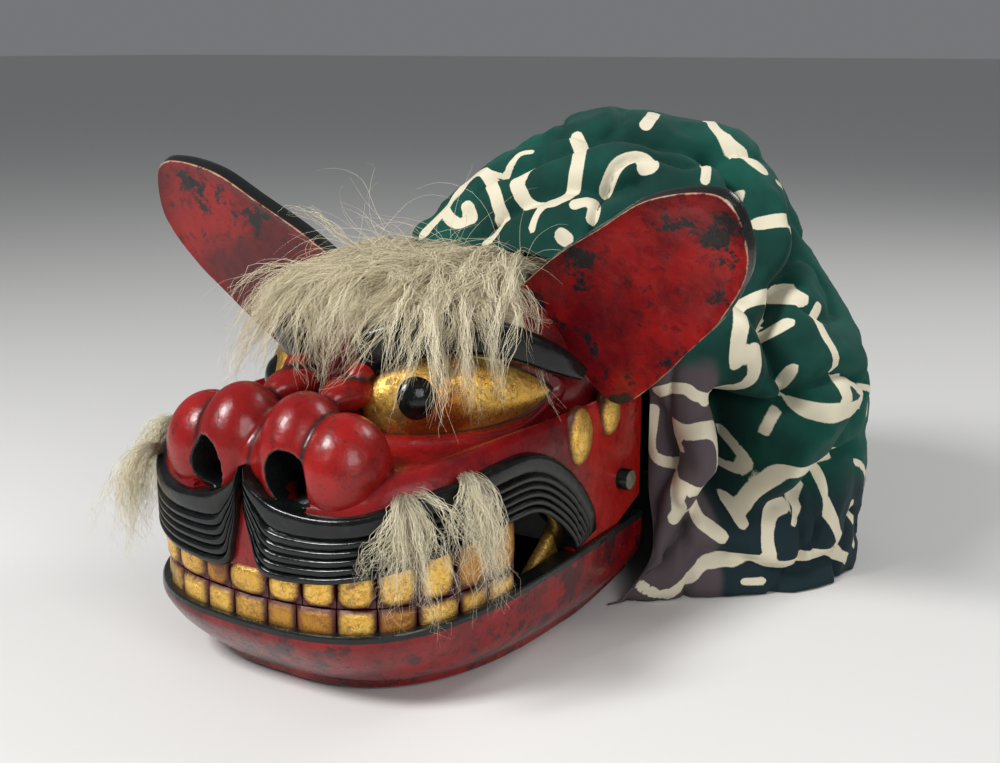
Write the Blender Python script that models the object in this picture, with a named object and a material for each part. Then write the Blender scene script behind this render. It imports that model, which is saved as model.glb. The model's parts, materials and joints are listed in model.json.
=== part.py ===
"""Japanese lion dance head (shishi-gashira): a carved, lacquered wooden mask with a hinged lower jaw,
two ears, a horsehair forelock and whiskers, and the cotton body cloth bundled behind it.

Metres, +Z up. The lion looks along -Y and its left side is +X. The origin is on the flat underside of
the lower jaw, midway between the sides, and the mouth is shut at rest.
"""

import bisect
import math

import bmesh
import bpy
from mathutils import Matrix, Vector

# Head
HEAD_HEIGHT = 0.250
HEAD_HALF_WIDTH = 0.128
HEAD_REAR_HALF_WIDTH = 0.125
MUZZLE_REACH = 0.153
HEAD_REAR_Y = 0.137
HEAD_WALL = 0.012
MUZZLE_SQUARENESS = 3.2
WIDEST_Y = 34

# Mouth
JAW_RIM_FRONT_Z = 0.200 * HEAD_HEIGHT
JAW_RIM_REAR_Z = 0.244 * HEAD_HEIGHT
SEAM_GAP = 0.0015
BITE_Z = 0.264 * HEAD_HEIGHT
BITE_GAP = 0.0008
TEETH_INSET = 0.006
TEETH_THICKNESS = 0.009
TEETH_COUNT = 22
LIP_PROUD = 0.005
LIP_RIBS = 5
RIB_RELIEF = 0.0022

# Jaw
JAW_WALL = 0.014
JAW_FLOOR = 0.010
JAW_REAR_RISE = 0.012
ARM_THICKNESS = 0.010
ARM_HALF_DEPTH = 0.017
ARM_CLEARANCE = 0.0012

# Hinge pegs
HINGE_Y = 0.104
HINGE_Z = 0.384 * HEAD_HEIGHT
JAW_OPENING = math.radians(18)
PEG_RADIUS = 0.0078
PEG_PROUD = 0.010
PEG_CLEARANCE = 0.0005

# Ears
EAR_THICKNESS = 0.016
EAR_RIM = 0.004

# Body cloth
CLOTH_THICKNESS = 0.004
CLOTH_HEIGHT = 0.352
CLOTH_HALF_WIDTH = 0.228
CLOTH_REAR_Y = 0.405

# Least distance between touching pieces
GAP = 0.0004

# The carver's units: one step across, along and up. Free forms are placed in them.
ACROSS = HEAD_HALF_WIDTH / 128
ALONG = MUZZLE_REACH / 153
UP = HEAD_HEIGHT / 250
REAR_ACROSS = HEAD_REAR_HALF_WIDTH / 125

RED = (0.30, 0.012, 0.012, 1)
BLACK = (0.010, 0.012, 0.012, 1)
GREEN = (0.004, 0.075, 0.055, 1)
HORSEHAIR = (0.56, 0.52, 0.40, 1)


def at(x, y, z):
    """A point, or the three radii, of the carving in the carver's units."""
    return Vector((x * ACROSS, y * ALONG, z * UP))


def clear_scene():
    for obj in list(bpy.data.objects):
        bpy.data.objects.remove(obj)


def new_collection(name):
    collection = bpy.data.collections.new(name)
    bpy.context.scene.collection.children.link(collection)
    return collection


def lacquer(name, colour, roughness):
    material = bpy.data.materials.new(name)
    material.use_nodes = True
    shader = material.node_tree.nodes["Principled BSDF"]
    shader.inputs["Base Color"].default_value = colour
    shader.inputs["Roughness"].default_value = roughness
    shader.inputs["Metallic"].default_value = 0
    return material


def add_object(name, bm, collection, material=None):
    """An object from a bmesh, with its normals made to face out."""
    bmesh.ops.remove_doubles(bm, verts=bm.verts, dist=1e-6)
    bmesh.ops.recalc_face_normals(bm, faces=bm.faces)
    if bm.calc_volume(signed=True) < 0:
        bmesh.ops.reverse_faces(bm, faces=bm.faces)
    mesh = bpy.data.meshes.new(name)
    bm.to_mesh(mesh)
    bm.free()
    mesh.shade_smooth()
    mesh.set_sharp_from_angle(angle=math.radians(35))
    obj = bpy.data.objects.new(name, mesh)
    if material:
        mesh.materials.append(material)
    collection.objects.link(obj)
    return obj


def add_cutter(name, bm, collection):
    obj = add_object(name, bm, collection)
    obj.hide_render = True
    obj.display_type = "WIRE"
    return obj


def boolean(obj, operation, collection):
    modifier = obj.modifiers.new(collection.name, "BOOLEAN")
    modifier.operation = operation
    modifier.solver = "EXACT"
    modifier.operand_type = "COLLECTION"
    modifier.collection = collection


def smooth(points, share):
    """A point on the smooth curve through the points, at a share of their count."""
    place = min(max(share, 0.0), 1.0) * (len(points) - 1)
    i = min(int(place), len(points) - 2)
    t = place - i
    a, b, c, d = (
        points[max(i - 1, 0)],
        points[i],
        points[i + 1],
        points[min(i + 2, len(points) - 1)],
    )
    return tuple(
        0.5 * (2 * q + (r - p) * t + (2 * p - 5 * q + 4 * r - s) * t**2 + (3 * q - p - 3 * r + s) * t**3)
        for p, q, r, s in zip(a, b, c, d)
    )


def grid_bmesh(rows, closed_rows=False, capped=False):
    """A surface over rows of points. Closed rows make a tube, and caps close its two ends."""
    bm = bmesh.new()
    verts = [[bm.verts.new(p) for p in row] for row in rows]
    columns = len(rows[0])
    for low, high in zip(verts[:-1], verts[1:]):
        for j in range(columns if closed_rows else columns - 1):
            k = (j + 1) % columns
            bm.faces.new((low[j], low[k], high[k], high[j]))
    if capped:
        bm.faces.new(verts[0])
        bm.faces.new(verts[-1])
    return bm


def ellipsoid(centre, radii, turn=0.0, segments=14, rings=9):
    """An ellipsoid turned about the upright axis."""
    bm = bmesh.new()
    place = Matrix.Translation(centre) @ Matrix.Rotation(turn, 4, "Z") @ Matrix.Diagonal((*radii, 1))
    bmesh.ops.create_uvsphere(bm, u_segments=segments, v_segments=rings, radius=1, matrix=place)
    return bm


def tube(path, radii, sides=8, up=Vector((0, 0, 1))):
    """A tapering rounded bar along a path. Each radius is a pair: across the path, and along up."""
    rings = []
    for i, point in enumerate(path):
        run = (path[min(i + 1, len(path) - 1)] - path[max(i - 1, 0)]).normalized()
        side = run.cross(up).normalized()
        rise = side.cross(run)
        wide, tall = radii[i]
        turns = [2 * math.pi * k / sides for k in range(sides)]
        rings.append([point + side * wide * math.cos(t) + rise * tall * math.sin(t) for t in turns])
    return grid_bmesh(rings, closed_rows=True, capped=True)


def mirrored(bm):
    """The same shape on the other side of the head."""
    bmesh.ops.scale(bm, vec=(-1, 1, 1), verts=bm.verts)
    bmesh.ops.reverse_faces(bm, faces=bm.faces)
    return bm


def swell(bm, amount):
    """Moves the surface outwards, so that a neighbour cut to it stays clear of it."""
    bmesh.ops.recalc_face_normals(bm, faces=bm.faces)
    bm.normal_update()
    if bm.calc_volume(signed=True) < 0:
        amount = -amount
    for v in bm.verts:
        v.co += v.normal * amount


# Plan of the mouth wall: a squarish arc round the muzzle, then straight sides to the rear
def arc_table():
    """Lengths along the muzzle's arc, from the front to its widest point, by angle."""
    steps = 400
    widest = WIDEST_Y * ALONG
    angles = [math.pi / 2 * i / steps for i in range(steps + 1)]
    power = 2 / MUZZLE_SQUARENESS
    points = [
        (HEAD_HALF_WIDTH * math.sin(a) ** power, widest - (widest + MUZZLE_REACH) * max(math.cos(a), 0) ** power)
        for a in angles
    ]
    lengths = [0.0]
    for p, q in zip(points[:-1], points[1:]):
        lengths.append(lengths[-1] + math.dist(p, q))
    return lengths, angles


ARC_LENGTHS, ARC_ANGLES = arc_table()
ARC = ARC_LENGTHS[-1]
SIDE_RUN = HEAD_REAR_Y - WIDEST_Y * ALONG
REAR_SHARE = 1 + SIDE_RUN / ARC


def arc_angle(share):
    """The angle reached at a share of the arc's length."""
    length = share * ARC
    i = min(max(bisect.bisect_left(ARC_LENGTHS, length), 1), len(ARC_LENGTHS) - 1)
    low, high = ARC_LENGTHS[i - 1], ARC_LENGTHS[i]
    t = (length - low) / (high - low)
    return ARC_ANGLES[i - 1] + t * (ARC_ANGLES[i] - ARC_ANGLES[i - 1])


def plan(share, outline, grow=0.0):
    """A plan point. Shares past 1 run along the straight side, and a negative share is the far side."""
    front, half, widest, squareness, rear_half = outline
    side = math.copysign(1, share)
    share = abs(share)
    half, rear_half, front = half + grow, rear_half + grow, front - grow
    if share <= 1:
        a = arc_angle(share)
        x = half * math.sin(a) ** (2 / squareness)
        y = widest - (widest - front) * max(math.cos(a), 0) ** (2 / squareness)
    else:
        t = (share - 1) / (REAR_SHARE - 1)
        x = half + (rear_half - half) * t
        y = widest + (HEAD_REAR_Y - widest) * t
    return side * x, y


def outline(front, half, widest, squareness, rear_half):
    """A plan outline in the carver's units: front y, half width, y of the widest point, and rear half width."""
    return (front * ALONG, half * ACROSS, widest * ALONG, squareness, rear_half * REAR_ACROSS)


WALL_PLAN = outline(-153, 128, WIDEST_Y, MUZZLE_SQUARENESS, 125)


def rim_z(share):
    """Height of the jaw's rim, from its front to its rear."""
    t = min(abs(share) / 0.95, 1)
    return JAW_RIM_FRONT_Z + (JAW_RIM_REAR_Z - JAW_RIM_FRONT_Z) * t * t * (3 - 2 * t)


# Lower edge of the head's wall, as (share of the arc, height): lip, mouth corner arch, then the seam
LIP_EDGE = [
    (0, 84), (0.10, 85), (0.29, 90), (0.48, 101), (0.69, 109), (0.78, 109), (0.84, 104),
    (0.89, 95), (0.93, 86), (0.965, 77), (0.985, 70), (1.0, 60),
]  # fmt: skip


def wall_bottom(share):
    share = abs(share)
    seam = JAW_RIM_REAR_Z + SEAM_GAP
    y = plan(share, WALL_PLAN)[1]
    relief = max(y - HINGE_Y + 0.004, 0) * math.tan(JAW_OPENING + math.radians(1))
    lip = 0.0
    for (s0, z0), (s1, z1) in zip(LIP_EDGE[:-1], LIP_EDGE[1:]):
        if s0 <= share <= s1:
            lip = (z0 + (z1 - z0) * (share - s0) / (s1 - s0)) * UP
    return max(seam + relief, lip)


# Contours of the skull, low to high: the plan outline, then the height at the front and at the side
CONTOURS = [
    (outline(-153, 128, 34, 3.2, 125), 118, 125),
    (outline(-151, 127, 34, 3.1, 125), 129, 147),
    (outline(-140, 121, 48, 2.8, 123), 139, 160),
    (outline(-97, 113, 75, 1.9, 121), 150, 152),
    (outline(-70, 116, 85, 1.65, 119), 170, 174),
    (outline(-60, 111, 90, 1.8, 109), 203, 206),
    (outline(-52, 90, 95, 2.0, 89), 228, 231),
    (outline(-22, 55, 100, 2.0, 55), 244, 246),
]


def skull_point(share, level, grow=0.0):
    """A point of the head's surface. Level 0 is the wall's lower edge and 9 the ridge of the crown."""
    points = [(*plan(share, WALL_PLAN, grow), wall_bottom(share))]
    t = min(abs(share) / 0.7, 1)
    t = t * t * (3 - 2 * t)
    for around, front_z, side_z in CONTOURS:
        x, y = plan(share, around, grow)
        points.append((x, y, (front_z + (side_z - front_z) * t) * UP + grow * 0.7))
    ridge = abs(share) / REAR_SHARE
    points.append((0, HEAD_REAR_Y * ridge, HEAD_HEIGHT + (ridge - 1) * 4 * UP + grow))
    return Vector(smooth(points, level / (len(points) - 1)))


FINE_LEVELS = [0, 1, 1.5, 2, 2.5, 3, 3.5, 4, 4.5, 5, 5.5, 6, 7, 8, 9]
COARSE_LEVELS = [0, 1, 2, 3, 4, 5, 6, 7, 8, 9]


def stations(count, last=REAR_SHARE):
    return [last * i / count for i in range(-count, count + 1)]


def skull_blank(grow=0.0, rear=0.0, bottom=None, levels=FINE_LEVELS, count=20):
    """The head as one closed block, before it is hollowed: skin, flat rear and underside."""
    rows = []
    for level in levels:
        row = [skull_point(s, level, grow) for s in stations(count)]
        if level == 0 and bottom is not None:
            row = [Vector((p.x, p.y, bottom)) for p in row]
        rows.append([row[0] + Vector((0, rear, 0))] + row + [row[-1] + Vector((0, rear, 0))])
    bm = grid_bmesh(rows)
    bm.verts.ensure_lookup_table()
    columns = len(rows[0])
    near = list(bm.verts[:columns])
    for i in range(columns // 2):
        a, b = near[i], near[i + 1]
        c, d = near[columns - 2 - i], near[columns - 1 - i]
        bm.faces.new((a, b, c, d) if b is not c else (a, b, d))
    last = [bm.verts[i * columns] for i in range(len(rows))]
    first = [bm.verts[i * columns + columns - 1] for i in range(len(rows))]
    for i in range(len(rows) - 1):
        bm.faces.new((last[i], last[i + 1], first[i + 1], first[i]))
    return bm


# Nose, eyes and brows
NOSE_LOBES = [
    (15, -120, 165, 25, 29, 31), (33, -126, 147, 21, 25, 31), (58, -121, 144, 28, 27, 29), (13, -76, 180, 18, 28, 15),
]  # fmt: skip


def nose():
    """Two inner lobes, two wings and the wrinkled bridge behind them."""
    shapes = []
    for side in (-1, 1):
        for x, y, z, *radii in NOSE_LOBES:
            middle = at(side * x, y, z)
            shapes.append(ellipsoid(middle, at(*radii), segments=14, rings=9))
    shapes.append(ellipsoid(at(0, -143, 118), at(14, 10, 36), segments=10, rings=7))
    return shapes


EYE_TURN = math.radians(49)
PUPIL = (53, -47, 179)


def eye(side):
    """A gold almond, round at the inner end and drawn out to a point over the cheek."""
    along = Vector((math.cos(EYE_TURN), math.sin(EYE_TURN), 0))
    out = Vector((math.sin(EYE_TURN), -math.cos(EYE_TURN), 0))
    rings = []
    for i in range(9):
        u = i / 8
        a = (-34 + 120 * u) * ACROSS
        profile = math.sin(math.pi * min(u, 0.999) ** 0.72) ** 0.72
        tall = (29 * profile + 1) * UP
        deep = (19 * profile + 1) * ALONG
        bend = -12 * ALONG * u * u
        centre = at(*PUPIL) - out * 10 * ALONG + along * a + out * bend
        turns = [2 * math.pi * k / 12 for k in range(12)]
        rings.append([centre + out * deep * math.cos(t) + Vector((0, 0, tall * math.sin(t))) for t in turns])
    bm = grid_bmesh(rings, closed_rows=True, capped=True)
    return bm if side > 0 else mirrored(bm)


def pupil(side):
    bm = ellipsoid(at(*PUPIL), at(13.5, 12, 13.5), EYE_TURN, 12, 8)
    return bm if side > 0 else mirrored(bm)


BROW_PATH = [(27, -56, 211), (48, -46, 219), (72, -22, 220), (94, 4, 212), (112, 30, 198), (122, 52, 185)]
BROW_RADII = [(11, 16), (12, 15), (12, 13), (11, 12), (9, 10), (5, 6)]


def brow(side):
    path = [at(*p) for p in BROW_PATH]
    radii = [(a * ALONG, b * UP) for a, b in BROW_RADII]
    bm = tube(path, radii, sides=8)
    return bm if side > 0 else mirrored(bm)


# The black lip: stations from the cleft under the nose, round the cheek, to the mouth corner. Each is
# (arc share, height) of its lower edge and then of its upper edge.
LIP_STATIONS = [
    (0.011, 146, 0.011, 151), (0.033, 122, 0.036, 141), (0.062, 98, 0.069, 135), (0.098, 83, 0.109, 130),
    (0.189, 84, 0.189, 128), (0.291, 88, 0.284, 129), (0.382, 93, 0.364, 134), (0.484, 99, 0.452, 140),
    (0.594, 104, 0.554, 144), (0.692, 107, 0.655, 148), (0.779, 107, 0.747, 149), (0.838, 102, 0.823, 145),
    (0.889, 93, 0.896, 136), (0.932, 84, 0.969, 122), (0.965, 75, 1.031, 106), (0.985, 68, 1.082, 88),
    (1.0, 63.5, 1.111, 70),
]  # fmt: skip


def lip(side):
    """One half of the ribbed upper lip, a band raised on the wall."""
    count = 2 * LIP_RIBS
    rings = []
    for low_s, low_z, high_s, high_z in LIP_STATIONS:
        front, back = [], []
        for k in range(count + 1):
            t = k / count
            share = low_s + (high_s - low_s) * t
            height = (low_z + (high_z - low_z) * t) * UP
            crest = RIB_RELIEF if k % 2 else 0.0
            edge = 0.002 if k in (0, count) else 0.0
            x, y = plan(share, WALL_PLAN, LIP_PROUD - RIB_RELIEF + crest - edge)
            front.append(Vector((x, y, height)))
        for share, height in ((high_s, high_z), (low_s, low_z)):
            x, y = plan(share, WALL_PLAN, -0.006)
            back.append(Vector((x, y, height * UP)))
        rings.append(front + back)
    bm = grid_bmesh(rings, closed_rows=True, capped=True)
    return bm if side > 0 else mirrored(bm)


def teeth(first, last, count, low, high):
    """A row of teeth along the wall: a band notched between the teeth."""
    shares = []
    for i in range(count):
        start = first + (last - first) * i / count
        width = (last - first) / count
        shares += [(start, 0.0022), (start + width * 0.12, 0.0), (start + width * 0.88, 0.0)]
    shares.append((last, 0.0022))
    rings = []
    for share, notch in shares:
        outer = plan(share, WALL_PLAN, -(TEETH_INSET - LIP_PROUD) - notch - 0.002)
        inner = plan(share, WALL_PLAN, -(TEETH_INSET - LIP_PROUD) - TEETH_THICKNESS)
        bottom, top = low(share), high(share)
        rings.append([
            Vector((*outer, bottom)), Vector((*outer, top)), Vector((*inner, top)), Vector((*inner, bottom)),
        ])  # fmt: skip
    return grid_bmesh(rings, closed_rows=True, capped=True)


TEETH_END = 0.73


def bite(share):
    return BITE_Z + 0.006 * abs(share) / TEETH_END


def bosses(side):
    """Two gilded studs on the cheek, seen as long domes."""
    shapes = []
    for share, height, wide, tall in ((1.022, 142, 13, 21), (1.19, 150, 11, 17)):
        x, y = plan(share, WALL_PLAN)
        bm = ellipsoid((x - 2 * ACROSS, y, height * UP), at(8, wide, tall), 0, 12, 8)
        shapes.append(bm if side > 0 else mirrored(bm))
    return shapes


def nostril(side):
    """A deep oval hole that opens into the hollow of the head."""
    bm = bmesh.new()
    place = (
        Matrix.Translation(at(33, -141, 150))
        @ Matrix.Rotation(math.radians(-8), 4, "Z")
        @ Matrix.Rotation(math.radians(90), 4, "X")
        @ Matrix.Diagonal((13.5 * ACROSS, 18.5 * UP, 1, 1))
    )
    bmesh.ops.create_cone(
        bm, cap_ends=True, segments=14, radius1=0.7, radius2=1.08, depth=50 * ALONG, matrix=place
    )
    return bm if side > 0 else mirrored(bm)


def across_bar(radius, first_x, last_x, segments=32):
    """A round bar along the hinge's axis."""
    bm = bmesh.new()
    middle = Vector(((first_x + last_x) / 2, HINGE_Y, HINGE_Z))
    place = Matrix.Translation(middle) @ Matrix.Rotation(math.pi / 2, 4, "Y")
    bmesh.ops.create_cone(
        bm, cap_ends=True, segments=segments, radius1=radius, radius2=radius,
        depth=abs(last_x - first_x), matrix=place,
    )  # fmt: skip
    return bm


def head_volumes(collection, grow):
    """Everything that stands on the head, each a closed shape."""
    shapes = nose()
    for side in (-1, 1):
        shapes += [eye(side), pupil(side), brow(side), lip(side)] + bosses(side)
    for i, bm in enumerate(shapes):
        swell(bm, grow)
        add_cutter(f"carving_{collection.name}_{i}", bm, collection)


def build_head(parts, material):
    """The carved head: block, carving, upper teeth, then the hollow, nostrils and peg holes."""
    carving, hollow = new_collection("carving"), new_collection("hollow")
    head_volumes(carving, 0.0)
    row = teeth(
        -TEETH_END, TEETH_END, TEETH_COUNT,
        lambda s: bite(s) + BITE_GAP,
        lambda s: wall_bottom(s) + 0.004,
    )  # fmt: skip
    add_cutter("upper_teeth_row", row, carving)
    inside = skull_blank(-HEAD_WALL, 0.03, JAW_RIM_FRONT_Z - 0.02, COARSE_LEVELS, 13)
    add_cutter("head_hollow", inside, hollow)
    for side in (-1, 1):
        add_cutter(f"nostril_{side}", nostril(side), hollow)
        reach = HEAD_HALF_WIDTH + 0.02
        bar = across_bar(PEG_RADIUS + GAP, side * (reach - 0.06), side * reach)
        add_cutter(f"peg_hole_{side}", bar, hollow)
    head = add_object("head", skull_blank(), parts, material)
    boolean(head, "UNION", carving)
    boolean(head, "DIFFERENCE", hollow)


# Lower jaw: outlines of the tray from its rim down to the flat underside
RIM_PLAN = outline(-158, 133, WIDEST_Y, MUZZLE_SQUARENESS, 128)
JAW_SIDES = [
    (RIM_PLAN, None, 0.0),
    (outline(-157, 132.5, 34, 3.2, 128), -9 * UP, 0.0),
    (outline(-146, 128, 36, 3.0, 125), 26 * UP, 0.45),
    (outline(-128, 115, 40, 2.8, 116), 9 * UP, 0.85),
    (outline(-109, 100, 44, 2.6, 102), 0.0, 1.0),
]


def rear_rise(y):
    """The jaw's underside lifts off the table behind its flat."""
    t = max(y - 0.060, 0) / (HEAD_REAR_Y - 0.060)
    return JAW_REAR_RISE * t**1.5


def tray_rows(inset=0.0, top=0.0, floor=0.0, count=24):
    """Rows of the tray's skin, rim first. The inside is the same form, drawn in and lifted."""
    rows = []
    for around, z, rise in JAW_SIDES:
        row = []
        for s in stations(count):
            x, y = plan(s, around, -inset)
            if z is None or z < 0:
                height = rim_z(s) + (z or top)
            else:
                height = z + rear_rise(y) * rise
            row.append(Vector((x, y, max(height, floor + rear_rise(y)))))
        rows.append(row)
    keel = []
    for s in stations(count):
        y = HEAD_REAR_Y * abs(s) / REAR_SHARE
        keel.append(Vector((0, y, floor + rear_rise(y))))
    return rows + [keel]


def closed_tray(rows, rear, lid):
    """The rows as one block: a lid over the rim and a flat rear."""
    stretched = []
    for row in rows:
        back = Vector((0, rear, 0))
        stretched.append([row[0] + back] + row + [row[-1] + back])
    top = [Vector((p.x, p.y, p.z + lid)) for p in stretched[0]]
    stretched = [top] + stretched if lid else stretched
    bm = grid_bmesh(stretched)
    bm.verts.ensure_lookup_table()
    columns = len(stretched[0])
    rim = list(bm.verts[:columns])
    for i in range(columns // 2):
        a, b = rim[i], rim[i + 1]
        c, d = rim[columns - 2 - i], rim[columns - 1 - i]
        bm.faces.new((a, b, c, d) if b is not c else (a, b, d))
    for i in range(len(stretched) - 1):
        ends = [bm.verts[j] for j in (i * columns, (i + 1) * columns)]
        others = [bm.verts[j + columns - 1] for j in ((i + 1) * columns, i * columns)]
        bm.faces.new(ends + others)
    return bm


# Curved tusk, upright just inside the rim by the mouth corner, and the root that joins it to the tray. Each
# is its depths behind the wall's skin, then its outline as (arc share, height).
TUSK_INSETS = (0.0142, 0.0220)
TUSK = [(0.830, 50), (0.890, 50), (0.955, 50), (1.020, 54), (1.045, 68), (1.030, 84), (0.985, 76), (0.915, 64)]
ROOT_INSETS = (0.0036, 0.0187)
TUSK_ROOT = [(0.862, 41), (0.987, 41), (0.987, 55), (0.862, 52)]


def wall_plate(side, outline_points, insets):
    """A plate that follows the mouth wall, between two depths behind its skin."""
    faces = []
    for inset in insets:
        ring = []
        for share, z in outline_points:
            x, y = plan(share, WALL_PLAN, -inset)
            ring.append(Vector((x, y, z * UP)))
        faces.append(ring)
    bm = grid_bmesh(faces, closed_rows=True, capped=True)
    return bm if side > 0 else mirrored(bm)


def box(low, high):
    bm = bmesh.new()
    low, high = Vector(low), Vector(high)
    place = Matrix.Translation((low + high) / 2) @ Matrix.Diagonal((*(high - low), 1))
    bmesh.ops.create_cube(bm, size=1, matrix=place)
    return bm


def arm(side):
    """The upright board that carries the jaw on its peg, inside the head's wall."""
    outer = HEAD_REAR_HALF_WIDTH - HEAD_WALL - ARM_CLEARANCE
    inner = outer - ARM_THICKNESS
    low, high = HINGE_Y - ARM_HALF_DEPTH, HINGE_Y + ARM_HALF_DEPTH
    board = box((inner, low, JAW_FLOOR + 0.006), (outer, high, HINGE_Z))
    foot_top = JAW_RIM_REAR_Z - 0.004
    foot = box((inner, low, foot_top - 0.020), (HEAD_REAR_HALF_WIDTH - 0.004, high, foot_top))
    top = across_bar(ARM_HALF_DEPTH, inner, outer, segments=24)
    shapes = [board, foot, top]
    return shapes if side > 0 else [mirrored(bm) for bm in shapes]


def build_jaw(parts, material):
    """The jaw: a shallow wooden tray, open at the rear, with its teeth, tusks and hinge arms."""
    teeth_and_arms, hollow = new_collection("jaw_fittings"), new_collection("jaw_hollow")
    row = teeth(-TEETH_END, TEETH_END, TEETH_COUNT, lambda s: rim_z(s) - 0.010, bite)
    add_cutter("lower_teeth_row", row, teeth_and_arms)
    bores = new_collection("jaw_bores")
    for side in (-1, 1):
        add_cutter(f"tusk_{side}", wall_plate(side, TUSK, TUSK_INSETS), teeth_and_arms)
        add_cutter(f"tusk_root_{side}", wall_plate(side, TUSK_ROOT, ROOT_INSETS), teeth_and_arms)
        for i, bm in enumerate(arm(side)):
            add_cutter(f"arm_{side}_{i}", bm, teeth_and_arms)
        outer = HEAD_REAR_HALF_WIDTH
        bar = across_bar(PEG_RADIUS + PEG_CLEARANCE, side * (outer - 0.035), side * outer)
        add_cutter(f"arm_bore_{side}", bar, bores)
    inside = closed_tray(tray_rows(inset=JAW_WALL, floor=JAW_FLOOR), 0.03, 0.05)
    add_cutter("tray_hollow", inside, hollow)
    jaw = add_object("lower_jaw", closed_tray(tray_rows(), 0.0, 0.0), parts, material)
    boolean(jaw, "DIFFERENCE", hollow)
    boolean(jaw, "UNION", teeth_and_arms)
    boolean(jaw, "DIFFERENCE", bores)


def build_pegs(parts, material):
    for side, name in ((1, "pivot_peg_left"), (-1, "pivot_peg_right")):
        outer = HEAD_REAR_HALF_WIDTH + PEG_PROUD
        inner = HEAD_REAR_HALF_WIDTH - HEAD_WALL - ARM_CLEARANCE - ARM_THICKNESS - 0.004
        add_object(name, across_bar(PEG_RADIUS, side * inner, side * outer), parts, material)


# Ears: the outline of the left ear as (across, along, up), from its inner corner round its top
EAR_OUTLINE = [
    (83, 44, 237), (113, 36, 264), (147, 28, 287), (180, 21, 306), (214, 19, 314), (236, 19, 311),
    (246, 25, 293), (246, 33, 265), (226, 43, 233), (200, 51, 207), (176, 59, 184), (152, 64, 165),
    (138, 65, 163), (123, 63, 176), (103, 56, 201), (84, 50, 218),
]  # fmt: skip


def ear(side):
    """A plate with a flat painted face in front and a full, rounded back."""
    rim = [at(*p) for p in EAR_OUTLINE]
    middle = sum(rim, Vector()) / len(rim)
    normal = (rim[4] - rim[0]).cross(rim[11] - rim[0]).normalized()
    back = normal if normal.y > 0 else -normal
    rings = [[middle + (p - middle) * 0.02 - back * -0.003 for p in rim]]
    rings.append([middle + (p - middle) * 0.75 + back * 0.002 for p in rim])
    rings.append(rim)
    for scale, depth in ((1.0, EAR_RIM), (0.8, 0.75 * EAR_THICKNESS), (0.45, EAR_THICKNESS), (0.02, EAR_THICKNESS)):
        rings.append([middle + (p - middle) * scale + back * depth for p in rim])
    bm = grid_bmesh(rings, closed_rows=True, capped=True)
    return bm if side > 0 else mirrored(bm)


def build_ears(parts, material, head_clearance, ear_clearance):
    for side, name in ((1, "ear_left"), (-1, "ear_right")):
        obj = add_object(name, ear(side), parts, material)
        boolean(obj, "DIFFERENCE", head_clearance)
        grown = ear(side)
        swell(grown, 1.5 * GAP)
        add_cutter(f"{name}_clearance", grown, ear_clearance)


# Forelock: how low the fringe hangs, as (arc share, skull level), and how far back its roots reach
FRINGE = [(0.0, 6.5), (0.25, 6.3), (0.42, 5.6), (0.56, 5.3), (0.70, 5.8)]
FORELOCK_SHARE = 0.70
FORELOCK_RIDGE_SHARE = 0.47
FORELOCK_THICKNESS = 0.024


def fringe_level(share):
    for (s0, l0), (s1, l1) in zip(FRINGE[:-1], FRINGE[1:]):
        if abs(share) <= s1:
            return l0 + (l1 - l0) * (abs(share) - s0) / (s1 - s0)
    return FRINGE[-1][1]


def pad_bmesh(upper, lower):
    """Two skins joined round three sides. On the fourth they meet their own mirror image."""
    bm = bmesh.new()
    skins = []
    for rows in (upper, lower):
        verts = [[bm.verts.new(p) for p in row] for row in rows]
        for a, b in zip(verts[:-1], verts[1:]):
            for j in range(len(a) - 1):
                bm.faces.new((a[j], a[j + 1], b[j + 1], b[j]))
        skins.append(verts)
    over, under = skins
    fringes = [row[0] for row in over], [row[0] for row in under]
    for high, low in (fringes, (over[0], under[0]), (over[-1], under[-1])):
        for j in range(len(high) - 1):
            bm.faces.new((high[j], high[j + 1], low[j + 1], low[j]))
    return bm


def build_forelock(parts, material, clearances):
    """The horsehair mat over the brow, a thick pad that follows the skull from its roots to the fringe."""
    columns, steps = 11, 7
    upper, lower = [], []
    for share in stations(columns, FORELOCK_SHARE):
        high, low = [], []
        for j in range(steps + 1):
            t = j / steps
            level = fringe_level(share) + (9 - fringe_level(share)) * t
            narrow = 1 - max(level - 8, 0) * (1 - FORELOCK_RIDGE_SHARE / FORELOCK_SHARE)
            narrow -= 0.07 * max(8 - level, 0)
            edge = 1 - max(abs(share) / FORELOCK_SHARE - 0.8, 0) * 2.5
            full = FORELOCK_THICKNESS * edge * (0.8 + 0.2 * math.sin(math.pi * min(t + 0.12, 0.5)))
            high.append(skull_point(share * narrow, level, full))
            low.append(skull_point(share * narrow, level, -0.004))
        upper.append(high)
        lower.append(low)
    bm = pad_bmesh(upper, lower)
    obj = add_object("forelock", bm, parts, material)
    for clearance in clearances:
        boolean(obj, "DIFFERENCE", clearance)


# Whiskers: where each tuft is rooted on the cheek, as (arc share, height), and how far it hangs
WHISKERS = {"front": (0.42, 141, 66), "rear": (0.55, 145, 70)}


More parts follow.
